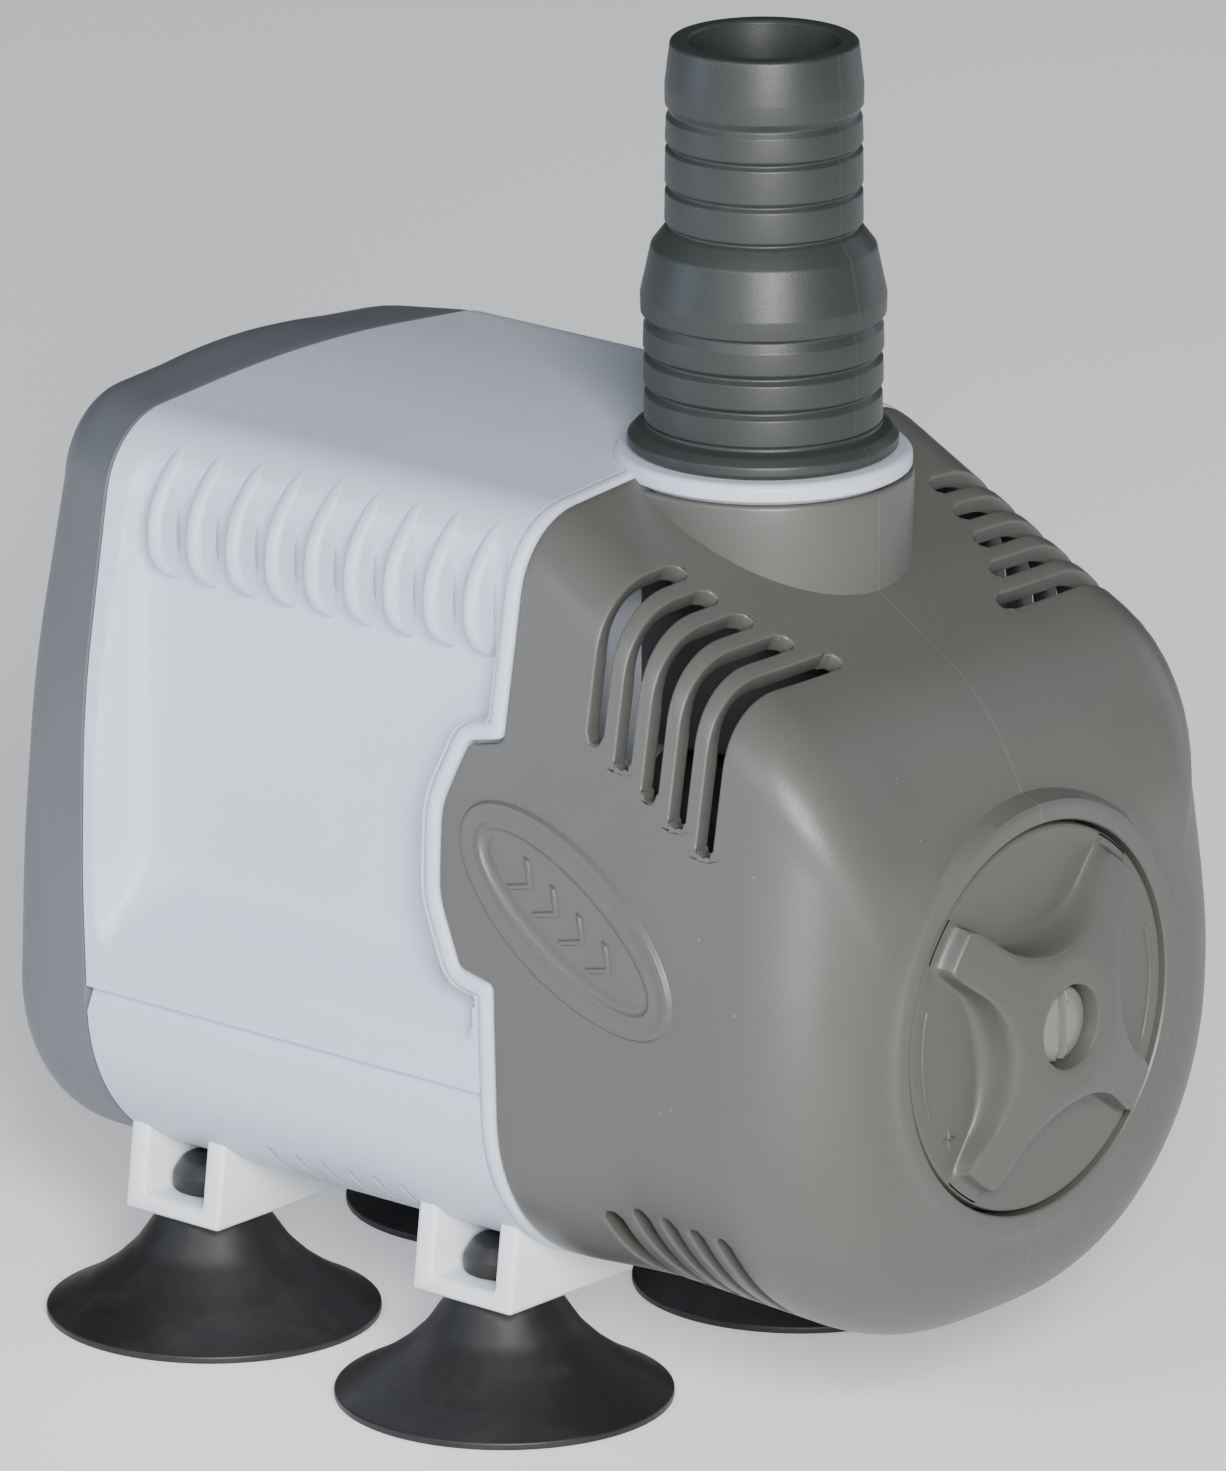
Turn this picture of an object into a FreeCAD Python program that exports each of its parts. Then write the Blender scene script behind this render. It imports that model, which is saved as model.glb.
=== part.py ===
"""Submersible aquarium and pond circulation pump.

Millimetres, +Z up. The origin is on the floor under the middle of the pump. The hose tail stands on the
outlet, +Y is the cable end, -Y is the front with the flow dial, and the motor axis is parallel to Y.
"""
import FreeCAD
import Part
import math
import os

# ---- driving dimensions -------------------------------------------------------------------------
FRONT_Y = -57.4            # front face of the strainer cover
PARTING_Y = -15.6          # where the cover meets the motor housing
SEAM_Y = 41.9              # where the motor housing meets the rear cap
REAR_Y = 58.3              # back of the rear cap
BODY_BOTTOM = 16.4         # underside of the body above the floor
MOTOR_Z = 46.6             # height of the motor, impeller and dial axis
OUTLET_Y = -20.6           # vertical axis of the outlet
RING_TOP = 101.1           # top of the outlet ring

WALL = 2.2                 # moulded wall thickness
JOINT_GAP = 0.3            # air between the cover and the housing
COVER_SLOPE = 0.589        # fall of the cover's top per millimetre towards the front
FRONT_ROUNDING = 10.0      # rounding all round the front face
REAR_ROUNDING = 7.5        # rounding all round the back face
CAP_SEAM_X = 37.6          # half width that the cap's drawn-in sides start from at the seam
CAP_REAR_X = 31.0          # and the half width that they reach at the back

# half outline of the body seen from the front: x, z and corner radius, from the shoulder downwards
TOP_CROWN = (0.0, 101.2, 175.0)
HALF_OUTLINE = [(31.4, 98.6, 9.5), (36.6, 69.5, 100.0), (37.15, 50.0, 150.0), (36.0, BODY_BOTTOM, 20.0)]

RECESS_FLOOR_X = 31.0      # side recess: half width over the two floors
RECESS_FLOOR_LOW = 50.6
RECESS_LIP_LOW = 43.1
GROOVE_TOP = 38.0
GROOVE_HEIGHT = 2.1
GROOVE_DEPTH = 1.6
RIM_WIDTH = 1.9            # housing rim left behind the cover's edge
RIB_COUNT = 10
RIB_PITCH = 5.45
RIB_THICKNESS = 1.9
RIB_FRONT_Y = -11.3
RIB_TOP_Z = 98.7
RIB_BOTTOM_Z = 83.6
RIB_TOP_X = 29.6
RIB_BOTTOM_X = 31.2
RIB_BULGE = 4.6

EAR_TOP = 76.0             # side ear of the cover, reaching back over the housing
EAR_BOTTOM = 50.4
EAR_STEP_Y = -11.0
EAR_REACH_Y = -8.1

FOOT_X = 24.0              # suction cup axes
FOOT_YS = (-5.7, 35.4)
BRACKET_INNER_X = 11.0
BRACKET_OUTER_X = 31.0
BRACKET_HALF_WIDTH = 6.9
BRACKET_BOTTOM = 11.8
BRACKET_WALL = 2.6
BRACKET_FLOOR = 2.0
CUP_RADIUS = 17.9
CUP_NECK_RADIUS = 3.3
CUP_HEAD_RADIUS = 4.3

RING_RADIUS = 15.5
PORT_RADIUS = 14.2
OUTLET_BORE = 7.8
COLLAR_RADIUS = 15.7

CHAMBER_FRONT_Y = -30.0    # pump chamber behind the strainer space
CHAMBER_REAR_Y = -14.0
CHAMBER_RADIUS = 22.0
DRUM_RADIUS = 24.6
WELL_RADIUS = 12.5         # rotor well
WELL_WALL = 1.3
WELL_END_Y = 31.0
SHAFT_RADIUS = 1.5
SHAFT_CLEARANCE = 0.05
MAGNET_RADIUS = 11.4
INTAKE_RADIUS = 10.5
INTAKE_PLATE_Y = -40.0

GLAND_Z = 33.0             # cable gland on the back
GLAND_END_Y = REAR_Y + 4.1
GLAND_BORE = 3.6

DIAL_RADIUS = 20.5
DIAL_OPENING = 20.9
DIAL_BOSS_RADIUS = 23.2
DIAL_BOSS_HEIGHT = 0.7
STAR_TIP_RADIUS = 18.4
STAR_FIRST_ARM = 37.0      # clockwise from the top, seen from the front
HUB_HEIGHT = 5.0
HUB_HOLE_RADIUS = 4.4

VENT_WIDTH = 2.0
VENT_PITCH = 3.72
VENT_FIRST_Y = -26.8
VENT_TOP_XS = (20.0, 19.5, 18.3, 16.3, 13.0)
VENT_LOW_ZS = (77.8, 75.5, 73.2, 70.8, 68.5)
OVAL_Y = -25.2             # raised ovals on the cover's flanks
OVAL_Z = 59.1
OVAL_TILT = 33.0
OVAL_RADII = ((16.3, 7.6), (13.6, 5.0))
OVAL_RISE = 0.35
OVAL_LINE = 1.0

STACK_Y0 = -4.0            # stator laminations
STACK_Y1 = 24.0
LEG_X = 18.4
LEG_HALF = 4.6
YOKE_LOW = 85.0
COIL_Z0 = 63.0
COIL_Z1 = 84.6
COIL_SPAN = 5.4
COIL_CORNER = 3.0

ROTOR_Y0 = -7.0
ROTOR_Y1 = 27.5
DOG_INNER = 2.6            # driving dog of the rotor, inside the impeller's hub
DOG_OUTER = 5.4
IMPELLER_RADIUS = 19.0
IMPELLER_BACK_Y = -15.2
IMPELLER_FRONT_Y = -26.5
BLADE_COUNT = 6
BLADE_THICKNESS = 1.6

X_AXIS = FreeCAD.Vector(1, 0, 0)
Y_AXIS = FreeCAD.Vector(0, 1, 0)
Z_AXIS = FreeCAD.Vector(0, 0, 1)


# ---- helpers ------------------------------------------------------------------------------------
def point(x, y, z):
    return FreeCAD.Vector(x, y, z)


def box(x0, x1, y0, y1, z0, z1):
    return Part.makeBox(x1 - x0, y1 - y0, z1 - z0, point(x0, y0, z0))


def rod_y(radius, y0, y1, x=0.0, z=MOTOR_Z):
    return Part.makeCylinder(radius, y1 - y0, point(x, y0, z), Y_AXIS)


def rod_z(radius, z0, z1, x=0.0, y=0.0):
    return Part.makeCylinder(radius, z1 - z0, point(x, y, z0), Z_AXIS)


def ring_y(outer, inner, y0, y1):
    return rod_y(outer, y0, y1).cut(rod_y(inner, y0 - 1, y1 + 1))


def turned_z(profile, x, y):
    """Solid turned about a vertical axis from (radius, z) points."""
    wire = Part.makePolygon([point(x + r, y, z) for r, z in profile + profile[:1]])
    return Part.Face(wire).revolve(point(x, y, 0), Z_AXIS, 360)


def mirrored_x(shape):
    return shape.mirror(point(0, 0, 0), X_AXIS)


def fuse_all(shapes):
    return shapes[0].multiFuse(shapes[1:]).removeSplitter() if len(shapes) > 1 else shapes[0]


def single(shape):
    """The largest solid of a result."""
    return sorted(shape.Solids, key=lambda solid: solid.Volume)[-1]


def rounded_wire(corners, to_space):
    """Closed wire through (u, v, radius) corners; each corner becomes a tangent arc."""
    count = len(corners)
    places = [point(u, v, 0) for u, v, _ in corners]
    entries = []
    for index, (_, _, radius) in enumerate(corners):
        here = places[index]
        back = (places[index - 1] - here).normalize()
        ahead = (places[(index + 1) % count] - here).normalize()
        if radius <= 0:
            entries.append((here, None, here))
            continue
        half_angle = math.acos(max(-1.0, min(1.0, back.dot(ahead)))) / 2
        reach = radius / math.tan(half_angle)
        middle = here + (back + ahead).normalize() * (radius / math.sin(half_angle) - radius)
        entries.append((here + back * reach, middle, here + ahead * reach))
    edges = []
    for index, (start, middle, end) in enumerate(entries):
        if middle is not None:
            arc = Part.Arc(to_space(start.x, start.y), to_space(middle.x, middle.y), to_space(end.x, end.y))
            edges.append(arc.toShape())
        following = entries[(index + 1) % count][0]
        if (following - end).Length > 1e-6:
            first, last = to_space(end.x, end.y), to_space(following.x, following.y)
            edges.append(Part.LineSegment(first, last).toShape())
    return Part.Wire(edges)


def prism(corners, to_space, travel):
    return Part.Face(rounded_wire(corners, to_space)).extrude(travel)


def side_prism(corners, x0, x1):
    """Prism across X from a side-view outline of (y, z, radius) corners."""
    return prism(corners, lambda y, z: point(x0, y, z), point(x1 - x0, 0, 0))


def body_wire(y, bottom=None, inset=0.0):
    half = [(x, z, radius) for x, z, radius in HALF_OUTLINE]
    if bottom is not None:
        half[-1] = (half[-1][0], bottom, 0.0)
    right = [TOP_CROWN] + half
    left = [(-x, z, radius) for x, z, radius in reversed(half)]
    wire = rounded_wire(right + left, lambda x, z: point(x, y, z))
    return wire.makeOffset2D(-inset) if inset else wire


def body_prism(y0, y1, inset=0.0):
    return Part.Face(body_wire(y0, inset=inset)).extrude(point(0, y1 - y0, 0))


def edges_at_y(shape, y):
    return [edge for edge in shape.Edges
            if abs(edge.BoundBox.YMin - y) < 1e-3 and abs(edge.BoundBox.YMax - y) < 1e-3]


def sector(radius, start_deg, end_deg, y0, y1):
    """Wedge about the motor axis; angles turn clockwise from the top, seen from the front."""
    steps = [math.radians(start_deg + (end_deg - start_deg) * share) for share in (0.0, 0.5, 1.0)]
    rim = [point(-math.sin(-a) * radius, y0, MOTOR_Z + math.cos(a) * radius) for a in steps]
    centre = point(0, y0, MOTOR_Z)
    edges = [Part.LineSegment(centre, rim[0]).toShape(), Part.Arc(*rim).toShape(),
             Part.LineSegment(rim[2], centre).toShape()]
    return Part.Face(Part.Wire(edges)).extrude(point(0, y1 - y0, 0))


# ---- front cover --------------------------------------------------------------------------------
def cover_form(inset):
    """Cover block: the body outline, cut by the sloping top and rounded round the front face."""
    front = FRONT_Y + inset
    length = PARTING_Y + 20 - front
    straight = body_prism(front, front + length, inset)
    tall = Part.Face(body_wire(PARTING_Y + 20, bottom=-80.0, inset=inset))
    drop = COVER_SLOPE * 20
    tall.translate(point(0, 0, drop))
    sloped = tall.extrude(point(0, -length - 20, -COVER_SLOPE * (length + 20)))
    form = straight.common(sloped)
    form = single(form)
    return single(form.makeFillet(FRONT_ROUNDING - inset, edges_at_y(form, front)))


def parting_side_outline(gap):
    """Side view of the space that the cover takes, grown by a gap towards the rear."""
    rear = PARTING_Y + gap
    return [
        (FRONT_Y - 20, 120, 0), (rear, 120, 0),
        (rear, EAR_TOP + gap, 1.2), (EAR_STEP_Y + gap, EAR_TOP - 1.0 + gap, 1.2),
        (EAR_REACH_Y + gap, EAR_TOP - 8.0, 9.0), (EAR_REACH_Y + gap, EAR_BOTTOM + 8.0, 9.0),
        (EAR_STEP_Y + gap, EAR_BOTTOM + 0.9 - gap, 1.2), (rear, EAR_BOTTOM - gap, 1.2),
        (rear, -10, 0), (FRONT_Y - 20, -10, 0),
    ]


def vent_cutters():
    """Five slots over each upper shoulder and five short ones under each lower edge."""
    width = VENT_WIDTH
    end = width / 2.01
    cutters = []
    for index, (top_x, low_z) in enumerate(zip(VENT_TOP_XS, VENT_LOW_ZS)):
        y = VENT_FIRST_Y - VENT_PITCH * index
        over = [(-50, y - width / 2, 0), (-top_x, y - width / 2, end),
                (-top_x, y + width / 2, end), (-50, y + width / 2, 0)]
        down = [(y - width / 2, 120, 0), (y + width / 2, 120, 0),
                (y + width / 2, low_z, end), (y - width / 2, low_z, end)]
        from_top = prism(over, lambda x, v: point(x, v, 50), point(0, 0, 70))
        cutters.append(from_top.common(side_prism(down, -50, 0)))
        under = [(-31.5, y - width / 2, end), (-20, y - width / 2, end),
                 (-20, y + width / 2, end), (-31.5, y + width / 2, end)]
        cutters.append(prism(under, lambda x, v: point(x, v, 10), point(0, 0, 20)))
    return cutters + [mirrored_x(cutter) for cutter in cutters]


def make_front_cover():
    shell = cover_form(0.0).common(side_prism(parting_side_outline(0.0), -60, 60))
    collar_top = RING_TOP - 2.2
    collar = rod_z(COLLAR_RADIUS, 60, collar_top, y=OUTLET_Y)
    collar = collar.fuse(box(-COLLAR_RADIUS, COLLAR_RADIUS, OUTLET_Y, PARTING_Y, 60, collar_top))
    shell = shell.fuse(collar)
    shell = shell.cut(cover_form(WALL))
    shell = shell.cut(rod_z(PORT_RADIUS + JOINT_GAP, 40, 120, y=OUTLET_Y))
    shell = shell.cut(box(-PORT_RADIUS - JOINT_GAP, PORT_RADIUS + JOINT_GAP, OUTLET_Y, 20, 40, 120))
    under_collar = rod_z(COLLAR_RADIUS + 1, 40, 82, y=OUTLET_Y).common(cover_form(WALL))
    shell = shell.cut(under_collar)
    shell = shell.cut(rod_z(RING_RADIUS + JOINT_GAP, collar_top, 120, y=OUTLET_Y))
    shell = shell.cut(box(-COLLAR_RADIUS, COLLAR_RADIUS, PARTING_Y, 0, 60, 120))
    boss = Part.makeCone(DIAL_BOSS_RADIUS + 0.6, DIAL_BOSS_RADIUS, DIAL_BOSS_HEIGHT,
                         point(0, FRONT_Y, MOTOR_Z), point(0, -1, 0))
    shell = shell.fuse(boss)
    shell = shell.fuse(rod_y(DIAL_OPENING + 1.8, FRONT_Y, FRONT_Y + 5.4))
    shell = shell.cut(rod_y(DIAL_OPENING, FRONT_Y - 2, FRONT_Y + 3.6))
    shell = shell.cut(rod_y(4.3, FRONT_Y - 2, FRONT_Y + 12))
    for cutter in vent_cutters():
        shell = shell.cut(cutter)
    for long_radius, short_radius in OVAL_RADII:
        shell = shell.fuse(oval_band(long_radius, short_radius, -1))
        shell = shell.fuse(oval_band(long_radius, short_radius, 1))
    return single(shell.removeSplitter())


def oval_band(long_radius, short_radius, side):
    """Raised oval line that follows the cover's flank."""
    outer = ellipse_face(long_radius, short_radius)
    inner = ellipse_face(long_radius - OVAL_LINE, short_radius - OVAL_LINE)
    band = outer.cut(inner)
    band.rotate(point(0, 0, 0), X_AXIS, OVAL_TILT)
    band.translate(point(side * 30.0, OVAL_Y, OVAL_Z))
    band = band.extrude(point(side * 20.0, 0, 0))
    raised = body_prism(FRONT_Y, PARTING_Y + 20, inset=-OVAL_RISE)
    raised = raised.cut(body_prism(FRONT_Y, PARTING_Y + 20, inset=0.6))
    return band.common(raised)


def ellipse_face(long_radius, short_radius):
    curve = Part.Ellipse(point(0, long_radius, 0), point(0, 0, short_radius), point(0, 0, 0))
    return Part.Face(Part.Wire([curve.toShape()]))


# ---- flow dial ----------------------------------------------------------------------------------
def star_wire(y, grow):
    """Four-armed star round the motor axis with blunt tips and hollow sides."""
    waist = 8.6 + grow
    tip_half = 2.9 + grow
    tip = STAR_TIP_RADIUS + grow
    edges = []
    last = None
    first = None
    for index in range(4):
        angle = math.radians(STAR_FIRST_ARM + 90 * index)
        outward = point(math.sin(angle), 0, math.cos(angle))
        across = point(math.cos(angle), 0, -math.sin(angle))
        centre = point(0, y, MOTOR_Z)
        start = centre + outward * (tip - 1.2) - across * tip_half
        top = centre + outward * tip
        end = centre + outward * (tip - 1.2) + across * tip_half
        if last is not None:
            edges.append(hollow_side(last, start, waist, angle, y))
        else:
            first = start
        edges.append(Part.Arc(start, top, end).toShape())
        last = end
    edges.append(hollow_side(last, first, waist, math.radians(STAR_FIRST_ARM), y))
    return Part.Wire(edges)


def hollow_side(start, end, waist, next_arm, y):
    angle = next_arm - math.pi / 4
    middle = point(math.sin(angle) * waist, y, MOTOR_Z + math.cos(angle) * waist)
    return Part.Arc(start, middle, end).toShape()


def make_flow_dial():
    disc = rod_y(DIAL_RADIUS, FRONT_Y - 0.3, FRONT_Y + 3.2)
    disc = disc.makeFillet(0.5, edges_at_y(disc, FRONT_Y - 0.3))
    star = Part.makeLoft([star_wire(FRONT_Y + 0.5, 0.4), star_wire(FRONT_Y - HUB_HEIGHT, -0.4)], True)
    crown = Part.makeCone(STAR_TIP_RADIUS + 5.0, 5.0, HUB_HEIGHT + 0.6, point(0, FRONT_Y + 0.6, MOTOR_Z),
                          point(0, -1, 0))
    ridge = Part.makeCone(STAR_TIP_RADIUS + 14.0, 7.2, HUB_HEIGHT + 0.6, point(0, FRONT_Y + 0.6, MOTOR_Z),
                          point(0, -1, 0))
    star = star.common(crown.fuse(ridge))
    hub = rod_y(HUB_HOLE_RADIUS + 1.9, FRONT_Y - HUB_HEIGHT, FRONT_Y)
    hub = hub.makeFillet(0.6, edges_at_y(hub, FRONT_Y - HUB_HEIGHT))
    dial = disc.fuse(star).fuse(hub)
    stem = rod_y(4.0, FRONT_Y + 3.0, FRONT_Y + 8.0).cut(ring_y(6.0, 3.0, FRONT_Y + 5.7, FRONT_Y + 7.5))
    dial = dial.fuse(stem)
    dial = dial.cut(rod_y(HUB_HOLE_RADIUS, FRONT_Y - HUB_HEIGHT - 1, FRONT_Y - 0.8))
    dial = dial.cut(rod_y(1.6, FRONT_Y - 2, FRONT_Y + 9))
    for start, end in ((75, 108), (232, 290)):
        band = sector(17.6, start, end, FRONT_Y - 0.7, FRONT_Y).cut(rod_y(17.0, FRONT_Y - 1, FRONT_Y + 1))
        dial = dial.fuse(band)
    return single(dial.removeSplitter())


def make_dial_screw():
    head_y = FRONT_Y - HUB_HEIGHT + 1.2
    head = rod_y(HUB_HOLE_RADIUS - 0.2, head_y, FRONT_Y - 0.8)
    head = head.makeFillet(0.8, edges_at_y(head, head_y))
    head = head.cut(box(-0.6, 0.6, head_y - 1, head_y + 1.2, MOTOR_Z - 6, MOTOR_Z + 6))
    return single(head.fuse(rod_y(1.5, FRONT_Y - 1, FRONT_Y + 14)).removeSplitter())


def make_flow_shutter():
    """Hub and two blades that cover the two intake windows when the dial is turned a quarter turn."""
    plate = (INTAKE_PLATE_Y - 2.4, INTAKE_PLATE_Y - 0.6)
    hub = rod_y(3.6, FRONT_Y + 8.0, plate[1])
    blades = [sector(INTAKE_RADIUS, start, start + 86, *plate) for start in (47, 227)]
    shutter = fuse_all([hub] + blades)
    return single(shutter.cut(rod_y(1.5, FRONT_Y, FRONT_Y + 14)))


def make_dial_o_ring():
    ring = Part.makeTorus(3.4, 0.85, point(0, FRONT_Y + 6.6, MOTOR_Z), Y_AXIS)
    return ring.cut(rod_y(3.0, FRONT_Y, FRONT_Y + 12))


# ---- motor housing ------------------------------------------------------------------------------
def recess_cutter():
    """Side recess with its sloped rear and lower walls, the lip below it and the dark groove."""
    front = rounded_wire(recess_outline(0.0), lambda y, z: point(-RECESS_FLOOR_X, y, z))
    flare = rounded_wire(recess_outline(1.0), lambda y, z: point(-RECESS_FLOOR_X - 9, y, z))
    well = Part.makeLoft([front, flare], True)
    groove = box(-50, -37.0 + GROOVE_DEPTH, -60, SEAM_Y - 0.6, GROOVE_TOP - GROOVE_HEIGHT, GROOVE_TOP)
    return well, groove


def recess_outline(flare):
    rear = SEAM_Y - 3.9 + flare * 4.2
    low = RECESS_FLOOR_LOW - flare * 11.2
    rim = RIM_WIDTH + JOINT_GAP
    return [
        (PARTING_Y + rim, 110, 0), (rear, 110, 0), (rear, low, 1.5),
        (PARTING_Y + rim, low, 0.6),
    ]


def make_rib(y):
    top = point(-RIB_TOP_X, y, RIB_TOP_Z)
    low = point(-RIB_BOTTOM_X, y, RIB_BOTTOM_Z)
    middle_z = (RIB_TOP_Z + RIB_BOTTOM_Z) / 2
    outer = point(-(RIB_TOP_X + RIB_BOTTOM_X) / 2 - RIB_BULGE, y, middle_z)
    inside_low = point(-27, y, RIB_BOTTOM_Z)
    inside_top = point(-27, y, RIB_TOP_Z - 1.5)
    edges = [Part.Arc(top, outer, low).toShape(), Part.LineSegment(low, inside_low).toShape(),
             Part.LineSegment(inside_low, inside_top).toShape(), Part.LineSegment(inside_top, top).toShape()]
    rib = Part.Face(Part.Wire(edges)).extrude(point(0, RIB_THICKNESS, 0))
    rib.translate(point(0, -RIB_THICKNESS / 2, 0))
    return rib


def make_bracket(y):
    """Box under the body, open outwards, with a hole in its floor for a suction cup's neck."""
    outer = box(BRACKET_INNER_X, BRACKET_OUTER_X, y - BRACKET_HALF_WIDTH, y + BRACKET_HALF_WIDTH,
                BRACKET_BOTTOM, 24)
    hollow = box(BRACKET_INNER_X + BRACKET_WALL, BRACKET_OUTER_X + 5, y - BRACKET_HALF_WIDTH + BRACKET_WALL,
                 y + BRACKET_HALF_WIDTH - BRACKET_WALL, BRACKET_BOTTOM + BRACKET_FLOOR, 25)
    hole = rod_z(CUP_NECK_RADIUS, 0, 20, x=FOOT_X, y=y)
    slant = Part.makeBox(10, 40, 40, point(BRACKET_OUTER_X, y - 20, BRACKET_BOTTOM))
    slant.rotate(point(BRACKET_OUTER_X, y, BRACKET_BOTTOM), Y_AXIS, -4)
    cap_space = box(0, 60, SEAM_Y, REAR_Y, BODY_BOTTOM, 60)
    return outer.cut(hollow).cut(hole).cut(slant).cut(cap_space)


def make_motor_housing():
    block = body_prism(PARTING_Y + JOINT_GAP, SEAM_Y)
    keep = side_prism(parting_side_outline(JOINT_GAP), -60, 60)
    block = block.cut(keep.cut(body_prism(-90, 90, inset=WALL + JOINT_GAP)))
    well, groove = recess_cutter()
    ear_space = side_prism([(y + RIM_WIDTH, z, r) for y, z, r in parting_side_outline(JOINT_GAP)], -60, 60)
    for cutter in (well.cut(ear_space), groove.cut(ear_space)):
        block = block.cut(cutter).cut(mirrored_x(cutter))
    motor_space = box(-28.4, 28.4, -8, SEAM_Y + 1, 21, 96).common(body_prism(-8, SEAM_Y + 1, inset=WALL))
    parts = [block]
    for index in range(RIB_COUNT):
        rib = make_rib(RIB_FRONT_Y + RIB_PITCH * index).cut(ear_space)
        parts.append(rib)
        parts.append(mirrored_x(rib))
    for y in FOOT_YS:
        bracket = make_bracket(y)
        parts.extend([bracket, mirrored_x(bracket)])
    block = fuse_all(parts)
    block = block.cut(motor_space)
    lip = body_prism(PARTING_Y - 3.0, PARTING_Y + 2, inset=WALL + JOINT_GAP)
    lip = lip.cut(body_prism(PARTING_Y - 4.0, PARTING_Y + 3, inset=WALL + JOINT_GAP + 2.0))
    lip = lip.common(cover_form(WALL + JOINT_GAP).fuse(box(-60, 60, PARTING_Y, PARTING_Y + 4, 0, 120)))
    drum = rod_y(DRUM_RADIUS, CHAMBER_FRONT_Y, PARTING_Y + 4)
    port = rod_z(PORT_RADIUS, MOTOR_Z, RING_TOP - 1, y=OUTLET_Y)
    port = port.cut(rod_y(DRUM_RADIUS + JOINT_GAP, FRONT_Y, CHAMBER_FRONT_Y))
    ring = rod_z(RING_RADIUS, RING_TOP - 1.9, RING_TOP, y=OUTLET_Y)
    ring = ring.makeFillet(0.6, [edge for edge in ring.Edges if len(edge.Vertexes) == 1])
    well = rod_y(WELL_RADIUS + WELL_WALL, CHAMBER_REAR_Y, WELL_END_Y + 4)
    block = block.fuse([lip, drum, port, ring, well])
    block = block.cut(rod_y(CHAMBER_RADIUS, CHAMBER_FRONT_Y - 1, CHAMBER_REAR_Y))
    block = block.cut(rod_y(WELL_RADIUS, CHAMBER_REAR_Y - 1, WELL_END_Y))
    block = block.cut(rod_y(4.0, WELL_END_Y - 1, WELL_END_Y + 2.5))
    block = block.cut(rod_z(OUTLET_BORE, MOTOR_Z, RING_TOP + 5, y=OUTLET_Y))
    block = block.cut(rod_z(11.0, RING_TOP - 12, RING_TOP + 5, y=OUTLET_Y))
    return single(block.removeSplitter())


# ---- fixed pieces -------------------------------------------------------------------------------
def cap_plan(rear, inset):
    """Upright block whose sides draw in from the seam to a rear plane, with rounded rear corners."""
    wide = CAP_SEAM_X - inset
    narrow = CAP_REAR_X - inset
    radius = REAR_ROUNDING - inset
    corners = [(-wide, SEAM_Y - 5, 0), (wide, SEAM_Y - 5, 0), (wide, SEAM_Y, 0),
               (narrow, rear, radius), (-narrow, rear, radius), (-wide, SEAM_Y, 0)]
    return prism(corners, lambda x, y: point(x, y, 0), point(0, 0, 120))


def make_rear_cap():
    cap = body_prism(SEAM_Y, REAR_Y)
    cap = single(cap.makeFillet(REAR_ROUNDING, edges_at_y(cap, REAR_Y)))
    cap = cap.common(cap_plan(REAR_Y, 0.0))
    inner_rear = REAR_Y - WALL - 3
    inner = body_prism(SEAM_Y - 1, inner_rear, inset=WALL).common(cap_plan(inner_rear, WALL))
    cap = cap.cut(inner)
    return single(cap.cut(rod_y(5.2, SEAM_Y, REAR_Y + 5, z=GLAND_Z)))


def make_cable_gland():
    collar = rod_y(7.4, REAR_Y - 0.01, GLAND_END_Y, z=GLAND_Z)
    collar = collar.makeFillet(1.2, edges_at_y(collar, GLAND_END_Y))
    gland = collar.fuse(rod_y(5.2, REAR_Y - 9, REAR_Y, z=GLAND_Z))
    return single(gland.cut(rod_y(GLAND_BORE, REAR_Y - 3.5, GLAND_END_Y + 1, z=GLAND_Z)).removeSplitter())


def make_gland_seal():
    seal = rod_y(7.0, REAR_Y - 9.0, REAR_Y - 7.0, z=GLAND_Z)
    return seal.cut(rod_y(5.2, REAR_Y - 10, REAR_Y - 6, z=GLAND_Z))


def make_terminal_block():
    block = box(-9, 9, SEAM_Y + 0.5, SEAM_Y + 7.0, 44, 53)
    for x in (-5.5, 0, 5.5):
        block = block.cut(rod_z(1.6, 49, 60, x=x, y=SEAM_Y + 3.7))
    return single(block)


def make_stator_core():
    core = box(-LEG_X - LEG_HALF, LEG_X + LEG_HALF, STACK_Y0, STACK_Y1, MOTOR_Z - 15.5, YOKE_LOW + 8.0)
    between = LEG_X - LEG_HALF
    core = core.cut(box(-between, between, STACK_Y0 - 1, STACK_Y1 + 1, MOTOR_Z - 20, YOKE_LOW))
    core = core.cut(rod_y(WELL_RADIUS + WELL_WALL + 0.1, STACK_Y0 - 1, STACK_Y1 + 1))
    return single(core)


def make_coil_bobbins():
    bobbins = []
    for side in (-1, 1):
        centre = side * LEG_X
        reach = LEG_HALF + 1
        core = box(centre - reach, centre + reach, STACK_Y0 - 1, STACK_Y1 + 1, COIL_Z0, COIL_Z1)
        for z in (COIL_Z0, COIL_Z1 - 1.2):
            core = core.fuse(box(centre - LEG_HALF - COIL_SPAN + 0.6, centre + LEG_HALF + COIL_SPAN - 0.6,
                                 STACK_Y0 - COIL_SPAN + 1.6, STACK_Y1 + COIL_SPAN, z, z + 1.2))
        leg = box(centre - LEG_HALF, centre + LEG_HALF, STACK_Y0, STACK_Y1, COIL_Z0 - 1, COIL_Z1 + 1)
        bobbins.append(single(core.cut(leg).removeSplitter()))
    return Part.makeCompound(bobbins)


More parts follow.
